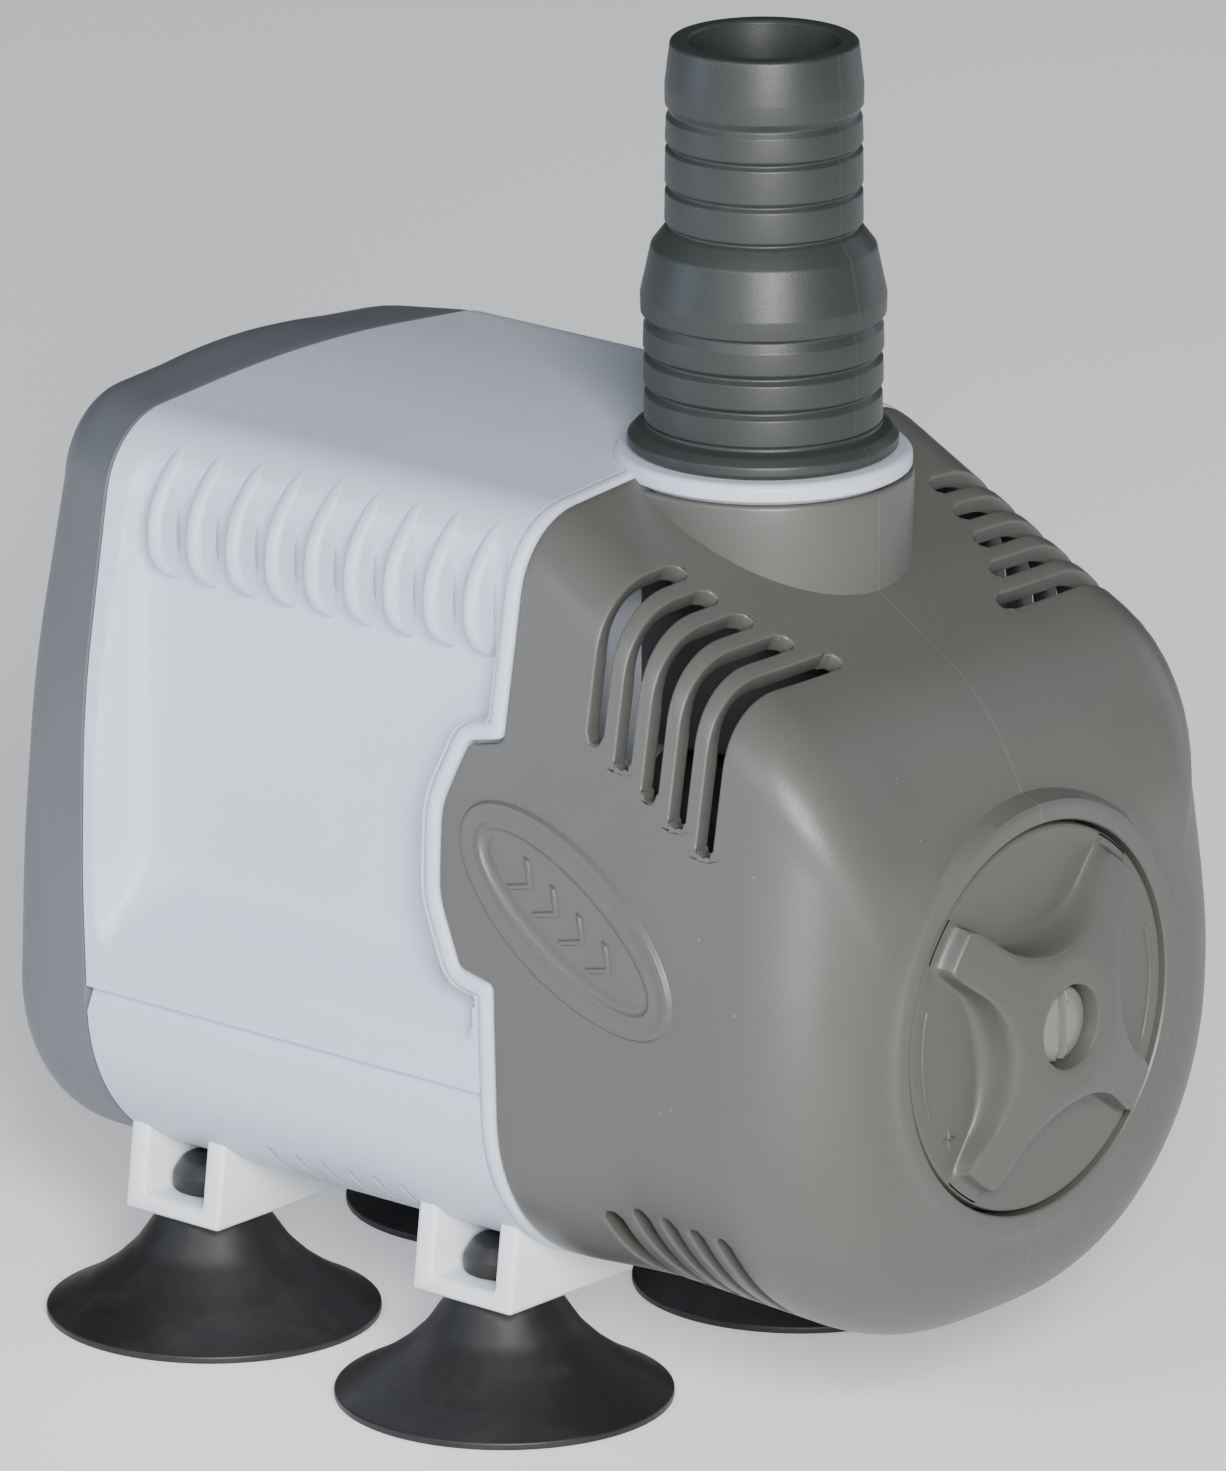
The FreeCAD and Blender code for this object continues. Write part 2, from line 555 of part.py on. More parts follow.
def make_coil_windings():
    windings = []
    for side in (-1, 1):
        centre = side * LEG_X
        reach_x = LEG_HALF + COIL_SPAN - 1.2
        front = STACK_Y0 - COIL_SPAN + 2.2
        rear = STACK_Y1 + COIL_SPAN - 0.6
        outline = [(centre - reach_x, front, COIL_CORNER), (centre + reach_x, front, COIL_CORNER),
                   (centre + reach_x, rear, COIL_CORNER), (centre - reach_x, rear, COIL_CORNER)]
        pack = prism(outline, lambda x, y: point(x, y, COIL_Z0 + 1.2), point(0, 0, COIL_Z1 - COIL_Z0 - 2.4))
        reach = LEG_HALF + 1
        bobbin = box(centre - reach, centre + reach, STACK_Y0 - 1, STACK_Y1 + 1, COIL_Z0, COIL_Z1)
        windings.append(single(pack.cut(bobbin)))
    return Part.makeCompound(windings)


def make_potting_resin():
    return box(-28.0, 28.0, 35.6, SEAM_Y, 58, 95.5).common(body_prism(30, SEAM_Y, inset=WALL + 0.05))


def make_volute_cover():
    plate = rod_y(DRUM_RADIUS, CHAMBER_FRONT_Y - 2.6, CHAMBER_FRONT_Y)
    spigot = rod_y(CHAMBER_RADIUS - 0.1, CHAMBER_FRONT_Y - 1, CHAMBER_FRONT_Y + 1.6)
    neck = rod_y(INTAKE_RADIUS + 1.6, INTAKE_PLATE_Y, CHAMBER_FRONT_Y)
    cover = plate.fuse(spigot).fuse(neck)
    cover = cover.cut(rod_y(INTAKE_RADIUS - 1.0, INTAKE_PLATE_Y + 1.6, CHAMBER_FRONT_Y + 3))
    windows = [sector(INTAKE_RADIUS - 1.5, start, start + 78, INTAKE_PLATE_Y - 1, INTAKE_PLATE_Y + 3)
               for start in (-39, 141)]
    for window in windows:
        cover = cover.cut(window.cut(rod_y(4.4, INTAKE_PLATE_Y - 2, INTAKE_PLATE_Y + 4)))
    cover = cover.fuse(rod_y(4.4, INTAKE_PLATE_Y, INTAKE_PLATE_Y + 7))
    cover = cover.cut(rod_y(2.9, INTAKE_PLATE_Y + 1.6, INTAKE_PLATE_Y + 8))
    groove_y = CHAMBER_FRONT_Y + 0.2
    groove = ring_y(CHAMBER_RADIUS + 0.01, CHAMBER_RADIUS - 1.3, groove_y, groove_y + 1.0)
    return single(cover.cut(groove).removeSplitter())


def make_chamber_o_ring():
    ring_front = CHAMBER_FRONT_Y + 0.25
    return ring_y(CHAMBER_RADIUS - 0.02, CHAMBER_RADIUS - 1.25, ring_front, ring_front + 0.9)


def make_rotor_shaft():
    return rod_y(SHAFT_RADIUS, INTAKE_PLATE_Y + 3.0, WELL_END_Y + 1.8)


def make_rear_bush():
    return ring_y(3.95, SHAFT_RADIUS, WELL_END_Y - 1.4, WELL_END_Y + 2.4)


def make_front_bush():
    return ring_y(2.85, SHAFT_RADIUS, INTAKE_PLATE_Y + 1.8, INTAKE_PLATE_Y + 7.6)


def make_thrust_washer(y):
    return ring_y(3.4, SHAFT_RADIUS, y, y + 0.8)


# ---- rotor and impeller -------------------------------------------------------------------------
def make_rotor_sleeve():
    """Plastic core that runs on the shaft, with the driving dog at its front end."""
    core = rod_y(4.6, ROTOR_Y0 - 1.0, ROTOR_Y1 + 0.8)
    flange = rod_y(MAGNET_RADIUS, ROTOR_Y0 - 1.0, ROTOR_Y0)
    dog = sector(DOG_OUTER, 160, 200, ROTOR_Y0 - 7.0, ROTOR_Y0 - 0.5)
    dog = dog.cut(rod_y(DOG_INNER, ROTOR_Y0 - 9, ROTOR_Y0))
    sleeve = core.fuse([flange, dog])
    return single(sleeve.cut(rod_y(SHAFT_RADIUS + SHAFT_CLEARANCE, -60, 60)).removeSplitter())


def make_rotor_magnet():
    magnet = rod_y(MAGNET_RADIUS, ROTOR_Y0, ROTOR_Y1)
    magnet = magnet.makeFillet(0.8, edges_at_y(magnet, ROTOR_Y1))
    return single(magnet.cut(rod_y(4.6, ROTOR_Y0 - 1, ROTOR_Y1 + 1)))


def make_impeller():
    """Straight-bladed wheel whose hollow hub holds the rotor's dog with room to swing."""
    disc = rod_y(IMPELLER_RADIUS, IMPELLER_BACK_Y - 1.4, IMPELLER_BACK_Y)
    hub = rod_y(7.6, IMPELLER_FRONT_Y + 3.5, ROTOR_Y0 - 1.8)
    nose = rod_y(3.2, INTAKE_PLATE_Y + 9.1, IMPELLER_FRONT_Y + 4)
    wheel = disc.fuse([hub, nose])
    half = BLADE_THICKNESS / 2
    for index in range(BLADE_COUNT):
        blade = box(-half, half, IMPELLER_FRONT_Y, IMPELLER_BACK_Y,
                    MOTOR_Z + 6.0, MOTOR_Z + IMPELLER_RADIUS - 0.4)
        blade.rotate(point(0, 0, MOTOR_Z), Y_AXIS, 360 / BLADE_COUNT * (index + 0.5))
        wheel = wheel.fuse(blade)
    wheel = wheel.cut(rod_y(6.0, ROTOR_Y0 - 7.6, ROTOR_Y0))
    stop = sector(6.2, -20, 20, ROTOR_Y0 - 8.0, ROTOR_Y0 - 2.4).cut(rod_y(DOG_INNER, -60, 60))
    wheel = wheel.fuse(stop)
    return single(wheel.cut(rod_y(SHAFT_RADIUS + SHAFT_CLEARANCE, -60, 60)).removeSplitter())


# ---- hose tail and feet -------------------------------------------------------------------------
def make_hose_tail():
    """Stepped hose tail with 20 mm and 25 mm barbs on a spigot that sits in the outlet."""
    outer = [
        (OUTLET_BORE, 91.0), (10.95, 91.0), (10.95, 101.1), (13.7, 101.1), (14.1, 101.5), (14.1, 102.4),
        (13.4, 103.4), (12.0, 103.9), (11.8, 104.0), (12.3, 104.1), (12.25, 107.2), (11.9, 107.8),
        (12.4, 107.9), (12.35, 110.9), (12.0, 111.5), (12.45, 111.6), (12.4, 114.5), (12.0, 115.5),
        (12.8, 115.6), (12.8, 117.6), (11.7, 122.7), (10.2, 124.7), (9.95, 125.0), (10.25, 125.1),
        (10.2, 128.6), (9.9, 129.1), (10.2, 129.2), (10.15, 133.0), (9.85, 133.5), (10.2, 133.6),
        (10.15, 136.4), (9.8, 137.0), (10.3, 137.8), (10.3, 139.8), (9.7, 144.4), (8.0, 144.4),
        (OUTLET_BORE, 144.2),
    ]
    return single(turned_z(outer, 0.0, OUTLET_Y))


def make_outlet_o_ring():
    return ring_about_z(10.98, 9.9, 90.0, 90.95)


def ring_about_z(outer, inner, z0, z1):
    return rod_z(outer, z0, z1, y=OUTLET_Y).cut(rod_z(inner, z0 - 1, z1 + 1, y=OUTLET_Y))


def make_suction_cup(x, y):
    """Flared rubber cup with a thin rim, a neck in the bracket's slot and a mushroom head above it."""
    outline = [
        (0.0, 3.2), (6.0, 3.0), (12.0, 1.7), (16.8, 0.0), (CUP_RADIUS, 0.0), (CUP_RADIUS, 0.7), (16.9, 1.3),
        (14.0, 2.9), (11.0, 5.0), (8.4, 7.4), (6.6, 9.8), (5.6, BRACKET_BOTTOM),
        (CUP_NECK_RADIUS, BRACKET_BOTTOM),
        (CUP_NECK_RADIUS, 13.8), (CUP_HEAD_RADIUS, 13.8), (4.2, 15.8), (3.3, 17.2), (0.0, 17.8),
    ]
    return single(turned_z(outline, x, y))


PARTS = {
    "motor_housing": make_motor_housing,
    "rear_cap": make_rear_cap,
    "front_cover": make_front_cover,
    "flow_dial": make_flow_dial,
    "dial_screw": make_dial_screw,
    "flow_shutter": make_flow_shutter,
    "dial_o_ring": make_dial_o_ring,
    "stator_core": make_stator_core,
    "coil_bobbins": make_coil_bobbins,
    "coil_windings": make_coil_windings,
    "potting_resin": make_potting_resin,
    "terminal_block": make_terminal_block,
    "volute_cover": make_volute_cover,
    "chamber_o_ring": make_chamber_o_ring,
    "rotor_shaft": make_rotor_shaft,
    "rear_bush": make_rear_bush,
    "front_bush": make_front_bush,
    "rotor_sleeve": make_rotor_sleeve,
    "rotor_magnet": make_rotor_magnet,
    "impeller": make_impeller,
    "hose_tail": make_hose_tail,
    "outlet_o_ring": make_outlet_o_ring,
    "cable_gland": make_cable_gland,
    "gland_seal": make_gland_seal,
}


def main():
    os.makedirs("parts", exist_ok=True)
    shapes = {name: maker() for name, maker in PARTS.items()}
    shapes["front_thrust_washer"] = make_thrust_washer(INTAKE_PLATE_Y + 7.8)
    shapes["rear_thrust_washer"] = make_thrust_washer(ROTOR_Y1 + 1.2)
    for row, y in zip(("front", "rear"), FOOT_YS):
        for side, x in (("left", -FOOT_X), ("right", FOOT_X)):
            shapes["suction_cup_" + row + "_" + side] = make_suction_cup(x, y)
    for name, shape in shapes.items():
        shape.exportStep("parts/" + name + ".step")
        print(name, shape.isValid(), len(shape.Solids), round(shape.Volume, 1), shape.BoundBox)


main()
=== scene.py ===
"""Submersible circulation pump: detailed shells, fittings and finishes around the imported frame.

Sizes in the mesh code are millimetres in the frame of the part: +Z up, -Y to the dial, +Y to the cable end.
"""

import math

import bmesh
import bpy
import numpy as np
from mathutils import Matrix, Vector


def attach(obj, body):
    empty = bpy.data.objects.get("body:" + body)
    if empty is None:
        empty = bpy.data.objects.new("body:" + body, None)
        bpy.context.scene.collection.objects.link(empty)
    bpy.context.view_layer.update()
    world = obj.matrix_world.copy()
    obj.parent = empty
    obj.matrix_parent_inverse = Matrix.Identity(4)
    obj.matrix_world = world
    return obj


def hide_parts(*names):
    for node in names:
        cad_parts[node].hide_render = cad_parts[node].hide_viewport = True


bl_info = {
    "name": "Circulation pump builder",
    "version": (1, 0, 0),
    "blender": (4, 5, 0),
    "location": "3D View > Sidebar > Pump",
    "description": "Builds the shells, hose tail, flow dial and suction feet of a submersible pump",
    "category": "Object",
}

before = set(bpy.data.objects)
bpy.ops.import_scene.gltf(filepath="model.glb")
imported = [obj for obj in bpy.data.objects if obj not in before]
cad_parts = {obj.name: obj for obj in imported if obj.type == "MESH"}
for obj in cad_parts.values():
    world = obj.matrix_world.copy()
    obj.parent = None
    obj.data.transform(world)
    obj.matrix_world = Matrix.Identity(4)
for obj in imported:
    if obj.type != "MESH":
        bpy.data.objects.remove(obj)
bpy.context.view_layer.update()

MM = 0.001
FRONT_Y, PARTING_Y, SEAM_Y, REAR_Y = -57.4, -15.6, 41.9, 58.3
AXIS_Z = 46.6                # motor, impeller and dial axis
OUTLET_Y = -20.6             # upright axis of the outlet
RING_TOP = 101.1
HALF_OUTLINE = ((0.0, 101.2, 175.0), (31.4, 98.6, 9.5), (36.6, 69.5, 100.0), (37.15, 50.0, 150.0),
                (36.0, 16.4, 20.0))
FRONT_OUTLINE = ((0.0, 101.2, 175.0), (31.4, 98.6, 9.5), (36.6, 69.5, 100.0), (36.65, 50.0, 150.0),
                 (32.0, 14.0, 31.6), (0.0, 12.9, 150.0))
EAR_CORNERS = ((-15.6, 78.5, 0.0), (-15.6, 76.0, 1.2), (-11.0, 75.0, 1.2), (-8.1, 68.0, 9.0),
               (-8.1, 58.4, 9.0), (-11.0, 51.3, 1.2), (-15.6, 50.4, 1.2), (-15.6, 48.0, 0.0))
EAR_COUNTS = (4, 5, 6, 5, 8, 8, 9, 8, 8, 5, 6, 5, 4)
VENT_PITCH = 3.72
VENT_YS = tuple(-26.8 - VENT_PITCH * k for k in range(5))
VENT_TOP_XS = (20.0, 19.5, 18.3, 16.3, 13.0)
VENT_LOW_ZS = (77.8, 75.5, 73.2, 70.8, 68.5)
UNDER_VENT_XS = (31.5, 20.0)
SLIT_YS = tuple(1.7 + VENT_PITCH * k for k in range(6))
FOOT_X, FOOT_YS = 24.0, (-5.7, 35.4)
EAR_TOP, EAR_LOW = 78.5, 48.0    # the ear's ends on the cover's rear edge
PORT_RADIUS = 14.5               # inside of the cover's collar
SHEET_MM, WIRE_MM = 0.5, 0.42    # one sheet of the core, one turn of the winding
RIM_WIDTH = 2.2                  # pale rim of the housing along the cover's rear edge
RECESS_X, RECESS_REAR_Y, RECESS_LOW_Z = 31.0, 38.0, 50.6    # floor and far edges of the side recess
GROOVE_LOW, GROOVE_TOP = 35.35, 38.0
SLIT_X, SLIT_REACH, SLIT_HALF = 26.6, 4.8, 0.33
BADGE_Y, BADGE_Z, BADGE_TILT = -25.2, 59.1, 33.0
CHEVRON_COUNT, CHEVRON_FIRST, CHEVRON_STEP = 4, -6.3, 4.2
RIB_FIRST = -9.9
GLAND_Z = 33.0
BOSS_FOOT = 23.8                 # radius where the ring round the dial meets the front face
PAINTED_SHADE_TONE = (0.045, 0.046, 0.05)   # painted shade: dark tone for the outlet where the cover shades it, under its bright ring


# ---- sizes and colours a user would change ------------------------------------------------------
def length(name, description, default):
    return bpy.props.FloatProperty(name=name, description=description, default=default * MM,
                                   unit="LENGTH", subtype="DISTANCE", precision=5)


def colour(name, description, default):
    return bpy.props.FloatVectorProperty(name=name, description=description, default=default,
                                         subtype="COLOR", size=3, min=0.0, max=1.0)


class PumpShape(bpy.types.PropertyGroup):
    cover_slope: bpy.props.FloatProperty(name="Cover slope", default=0.589,
                                         description="Fall of the cover's top towards the front")
    front_rounding: length("Front rounding", "Radius round the cover's front face", 12.6)
    rear_rounding: length("Rear rounding", "Radius round the cap's back face", 9.4)
    rear_draw: length("Rear draw", "How far each side of the cap draws in at the back", 4.8)
    wall: length("Wall", "Moulded wall thickness of the cover", 2.2)
    vent_width: length("Vent width", "Width of a cover slot along the pump", 2.0)
    badge_rise: length("Badge height", "Height of the oval badge on the cover's flank", 0.5)
    rib_pitch: length("Rib pitch", "Distance between two gill ribs", 5.48)
    rib_count: bpy.props.IntProperty(name="Ribs", description="Gill ribs on each side", default=9)
    hub_height: length("Dial height", "Height of the dial's star over the front face", 5.0)


class PumpFinish(bpy.types.PropertyGroup):
    cover: colour("Cover", "Dark warm grey of the strainer cover", (0.080, 0.080, 0.075))
    dial: colour("Dial", "Dark warm grey of the flow dial", (0.072, 0.072, 0.067))
    housing: colour("Housing", "Pale cool grey of the motor housing", (0.50, 0.54, 0.62))
    bracket: colour("Brackets", "Nearly white brackets of the feet", (0.66, 0.69, 0.72))
    cap: colour("Rear cap", "Mid grey of the rear cap", (0.105, 0.112, 0.128))
    hose_tail: colour("Hose tail", "Dark green grey of the hose tail", (0.022, 0.026, 0.0245))
    rubber: colour("Cups", "Black rubber of the suction cups", (0.0085, 0.0080, 0.0078))


def shape(context):
    return context.scene.pump_shape


def finish(context):
    return context.scene.pump_finish


def mm(value):
    return value / MM


# ---- procedural finishes ------------------------------------------------------------------------
class Signal:
    """A material socket that can be used in plain arithmetic."""

    def __init__(self, tree, socket):
        self.tree = tree
        self.socket = socket

    def math(self, operation, *terms):
        node = self.tree.nodes.new("ShaderNodeMath")
        node.operation = operation
        for entry, term in zip(node.inputs, terms):
            feed(self.tree, entry, term)
        return Signal(self.tree, node.outputs[0])

    def __add__(self, other):
        return self.math("ADD", self, other)

    def __sub__(self, other):
        return self.math("SUBTRACT", self, other)

    def __rsub__(self, other):
        return self.math("SUBTRACT", other, self)

    def __mul__(self, other):
        return self.math("MULTIPLY", self, other)

    __radd__ = __add__
    __rmul__ = __mul__

    def size(self):
        return self.math("ABSOLUTE", self)

    def fraction(self):
        return self.math("FRACT", self)

    def ramp(self, start, end):
        """0 before start, 1 after end, smooth between them; start may be the larger one."""
        share = (self - start) * (1.0 / (end - start))
        node = self.tree.nodes.new("ShaderNodeMapRange")
        node.interpolation_type = "SMOOTHSTEP"
        feed(self.tree, node.inputs["Value"], share)
        return Signal(self.tree, node.outputs["Result"])


def feed(tree, entry, value):
    if isinstance(value, Signal):
        tree.links.new(value.socket, entry)
    elif isinstance(value, (tuple, list)) and len(value) == 3 and entry.type == "RGBA":
        entry.default_value = (*value, 1.0)
    else:
        entry.default_value = value


class Finish:
    """One procedural material on a Principled shader."""

    def __init__(self, name):
        self.material = bpy.data.materials.new(name)
        self.material.use_nodes = True
        self.tree = self.material.node_tree
        self.shader = next(n for n in self.tree.nodes if n.type == "BSDF_PRINCIPLED")
        self.place = self.node("ShaderNodeTexCoord", "Object")
        self.x, self.y, self.z = self.node("ShaderNodeSeparateXYZ", ("X", "Y", "Z"), Vector=self.place)

    def node(self, kind, outputs, settings=None, **sockets):
        node = self.tree.nodes.new(kind)
        for key, value in (settings or {}).items():
            setattr(node, key, value)
        for key, value in sockets.items():
            feed(self.tree, node.inputs[key.replace("_", " ")], value)
        if isinstance(outputs, str):
            return Signal(self.tree, node.outputs[outputs])
        return [Signal(self.tree, node.outputs[name]) for name in outputs]

    def noise(self, per_mm, detail=2.0, roughness=0.5, stretch=None):
        place = self.place
        if stretch:
            place = self.node("ShaderNodeMapping", "Vector", Vector=place, Scale=stretch)
        return self.node("ShaderNodeTexNoise", "Fac", Vector=place, Scale=per_mm / MM, Detail=detail,
                         Roughness=roughness)

    def mix(self, share, first, second):
        node = self.tree.nodes.new("ShaderNodeMix")
        node.data_type = "RGBA"
        feed(self.tree, node.inputs[0], share)
        feed(self.tree, node.inputs[6], first)
        feed(self.tree, node.inputs[7], second)
        return Signal(self.tree, node.outputs[2])

    def bump(self, height, strength, depth_mm):
        return self.node("ShaderNodeBump", "Normal", Height=height, Strength=strength,
                         Distance=depth_mm * MM)

    def set(self, **sockets):
        for key, value in sockets.items():
            feed(self.tree, self.shader.inputs[key.replace("_", " ")], value)
        return self


def shade(colour_value, factor):
    return tuple(min(1.0, channel * factor) for channel in colour_value)


def moulded(name, base, roughness, grain=0.25, grain_mm=0.22, speck=0.0, drift=0.06, seam=False,
            shade_below_z=None):
    """Moulded plastic: fine spark-eroded grain, slow tone drift, light specks, and a faint mould seam
    or painted shade on the part under a given height, where they are asked for."""
    skin = Finish(name)
    fine = skin.noise(1.0 / grain_mm, 2.0, 0.55)
    middle = skin.noise(0.9, 3.0, 0.6)
    slow = skin.noise(0.045, 2.0, 0.5)
    tint = skin.mix(slow.ramp(0.3, 0.7), shade(base, 1 - drift), shade(base, 1 + drift))
    tint = skin.mix((fine - 0.5) * 0.5 + (middle - 0.5) * 0.35 + 0.5, tint, shade(base, 1.10))
    if speck:
        cell, hue = skin.node("ShaderNodeTexVoronoi", ("Distance", "Color"), Vector=skin.place,
                              Scale=0.42 / MM, Randomness=1.0)
        pick = skin.node("ShaderNodeSeparateColor", "Red", Color=hue)
        dots = cell.ramp(0.085, 0.045) * pick.ramp(0.80, 0.86)
        tint = skin.mix(dots * speck, tint, shade(base, 2.4))
    height = fine + middle * 0.35
    if seam:
        line = skin.x.size().ramp(0.00022, 0.00004)
        tint = skin.mix(line * 0.35, tint, shade(base, 1.5))
        height = height + line * 1.6
    # painted shade: the part under the given height, which the cover shades, is darkened to a dark tone
    if shade_below_z:
        painted_shade_share = skin.z.ramp((shade_below_z + 0.2) * MM, (shade_below_z - 0.2) * MM)
        tint = skin.mix(painted_shade_share, tint, PAINTED_SHADE_TONE)
    skin.set(Base_Color=tint, Roughness=(middle - 0.5) * 0.10 + (slow - 0.5) * 0.08 + roughness,
             IOR=1.47, Specular_IOR_Level=0.5, Normal=skin.bump(height, grain, 0.035))
    return skin.material


def black_rubber(name, base):
    skin = Finish(name)
    fine = skin.noise(4.0, 2.0)
    bloom = skin.noise(0.16, 4.0, 0.65)
    swirl = skin.noise(0.9, 3.0, 0.6, stretch=(1.0, 1.0, 0.15))
    tint = skin.mix(bloom.ramp(0.45, 0.75), base, shade(base, 2.1))
    tint = skin.mix(swirl.ramp(0.6, 0.8) * 0.35, tint, shade(base, 3.0))
    skin.set(Base_Color=tint, Roughness=(swirl - 0.5) * 0.12 + 0.47, IOR=1.50,
             Normal=skin.bump(fine + swirl * 0.6, 0.18, 0.03))
    return skin.material


def laminated_steel(name):
    skin = Finish(name)
    sheets = (skin.y * (1.0 / (SHEET_MM * MM))).fraction()
    edge = sheets.ramp(0.0, 0.12) * sheets.ramp(1.0, 0.88)
    rust = skin.noise(0.3, 4.0, 0.6)
    tint = skin.mix(edge, (0.08, 0.08, 0.08), (0.42, 0.42, 0.43))
    tint = skin.mix(rust.ramp(0.6, 0.8) * 0.3, tint, (0.28, 0.17, 0.10))
    skin.set(Base_Color=tint, Metallic=0.9, Roughness=rust * 0.2 + 0.32, Normal=skin.bump(edge, 0.5, 0.05))
    return skin.material


def copper_winding(name):
    skin = Finish(name)
    turn = (skin.z * (1.0 / (WIRE_MM * MM))).fraction()
    crest_bump_and_sheen = turn * (1.0 - turn) * 4.0
    patches = skin.noise(0.5, 2.0)
    # painted highlight on the top of each turn and painted shade between turns; the same mask also drives the
    # bump
    tint = skin.mix(crest_bump_and_sheen, (0.22, 0.07, 0.03), (0.72, 0.30, 0.13))
    tint = skin.mix(patches.ramp(0.5, 0.8) * 0.3, tint, (0.50, 0.19, 0.08))
    skin.set(Base_Color=tint, Metallic=0.85, Roughness=patches * 0.15 + 0.25,
             Normal=skin.bump(crest_bump_and_sheen, 0.8, 0.12))
    return skin.material


def cast_or_sintered(name, base, roughness, specks, bump):
    skin = Finish(name)
    cloud = skin.noise(0.25, 4.0, 0.6)
    fine = skin.noise(3.0, 3.0, 0.6)
    tint = skin.mix(cloud, shade(base, 0.85), shade(base, 1.2))
    tint = skin.mix(fine.ramp(0.62, 0.74) * specks, tint, shade(base, 2.2))
    skin.set(Base_Color=tint, Roughness=(fine - 0.5) * 0.12 + roughness, Normal=skin.bump(fine, bump, 0.03))
    return skin.material


FINISHES = {}


def get_finish(key, context):
    """The finish of that key, made the first time that it is asked for."""
    if key in FINISHES:
        return FINISHES[key]
    tones = finish(context)
    grey = tuple(tones.housing)
    makers = {
        "cover": lambda: moulded("cover_grey_plastic", tuple(tones.cover), 0.40, 0.55, 0.24, 0.55,
                                 seam=True),
        "dial": lambda: moulded("dial_grey_plastic", tuple(tones.dial), 0.40, 0.50, 0.22, 0.35),
        "housing": lambda: moulded("housing_grey_plastic", grey, 0.42, 0.30, 0.24, 0.0, 0.03),
        # painted shade on the outlet port under z 98.6, inside the cover
        "port": lambda: moulded("port_plastic", grey, 0.42, 0.30, 0.24, 0.0, 0.03, shade_below_z=98.6),
        "bracket": lambda: moulded("bracket_plastic", tuple(tones.bracket), 0.45, 0.35, 0.30, 0.0, 0.04),
        "cap": lambda: moulded("cap_grey_plastic", tuple(tones.cap), 0.44, 0.45, 0.24, 0.20),
        "hose_tail": lambda: moulded("hose_tail_plastic", tuple(tones.hose_tail), 0.43, 0.50, 0.20, 0.35,
                                     0.12, seam=True),
        "gland": lambda: moulded("gland_plastic", (0.022, 0.022, 0.023), 0.42, 0.4, 0.2),
        # real black plastic of the inner parts; on the pump chamber the same finish is painted shade
        "inner": lambda: moulded("inner_black_plastic", (0.035, 0.035, 0.038), 0.38, 0.3, 0.2),
        "screw": lambda: moulded("screw_plastic", (0.16, 0.16, 0.15), 0.36, 0.3, 0.2),
        "cups": lambda: black_rubber("cup_rubber", tuple(tones.rubber)),
        "seals": lambda: black_rubber("seal_rubber", (0.018, 0.018, 0.019)),
        "steel": lambda: laminated_steel("laminated_steel"),
        "copper": lambda: copper_winding("copper_winding"),
        "resin": lambda: cast_or_sintered("cast_resin", (0.030, 0.030, 0.034), 0.22, 0.25, 0.15),
        "ferrite": lambda: cast_or_sintered("sintered_ferrite", (0.055, 0.055, 0.06), 0.5, 0.5, 0.5),
        "ceramic": lambda: cast_or_sintered("polished_ceramic", (0.78, 0.77, 0.73), 0.16, 0.05, 0.05),
    }
    FINISHES[key] = makers[key]()
    return FINISHES[key]


# ---- mesh helpers -------------------------------------------------------------------------------
def new_piece(name, points, faces, material, smooth_deg=38.0):
    mesh = bpy.data.meshes.new(name)
    mesh.from_pydata((np.asarray(points, float) * MM).tolist(), [], faces)
    mesh.validate()
    piece = bpy.data.objects.new(name, mesh)
    bpy.context.scene.collection.objects.link(piece)
    work = bmesh.new()
    work.from_mesh(mesh)
    bmesh.ops.remove_doubles(work, verts=work.verts, dist=1e-7)
    bmesh.ops.dissolve_degenerate(work, edges=work.edges, dist=1e-8)
    bmesh.ops.recalc_face_normals(work, faces=work.faces)
    work.to_mesh(mesh)
    work.free()
    mesh.materials.append(material)
    shade_by_angle(piece, smooth_deg)
    return piece


def shade_by_angle(piece, degrees):
    piece.data.polygons.foreach_set("use_smooth", [True] * len(piece.data.polygons))
    piece.data.set_sharp_from_angle(angle=math.radians(degrees))


def bake_modifiers(piece, smooth_deg=38.0):
    """Turns the modifiers' result into the piece's own plain mesh."""
    bpy.context.view_layer.update()
    graph = bpy.context.evaluated_depsgraph_get()
    mesh = bpy.data.meshes.new_from_object(piece.evaluated_get(graph), depsgraph=graph)
    materials = [slot.material for slot in piece.material_slots if slot.material]
    piece.modifiers.clear()
    piece.data = mesh
    if not [m for m in mesh.materials if m]:
        mesh.materials.clear()
        for material in materials:
            mesh.materials.append(material)
    shade_by_angle(piece, smooth_deg)
    return piece


def round_edges(piece, width, segments=2, angle=42.0, smooth_deg=60.0):
    bevel = piece.modifiers.new("rounded edges", "BEVEL")
    bevel.width = width * MM
    bevel.segments = segments
    bevel.limit_method = "ANGLE"
    bevel.angle_limit = math.radians(angle)
    bevel.use_clamp_overlap = False
    bevel.miter_outer = "MITER_ARC"
    return bake_modifiers(piece, smooth_deg)


def combine(piece, other, operation):
    """Exact boolean of two closed pieces; the other one is used up."""
    tool = piece.modifiers.new("boolean", "BOOLEAN")
    tool.operation = operation
    tool.solver = "EXACT"
    tool.object = other
    bake_modifiers(piece)
    bpy.data.objects.remove(other)
    return piece


def grid_faces(rows, columns, closed_columns=True, closed_rows=False):
    faces = []
    for i in range(rows if closed_rows else rows - 1):
        nxt = (i + 1) % rows
        for j in range(columns if closed_columns else columns - 1):
            k = (j + 1) % columns
            faces.append((i * columns + j, nxt * columns + j, nxt * columns + k, i * columns + k))
    return faces


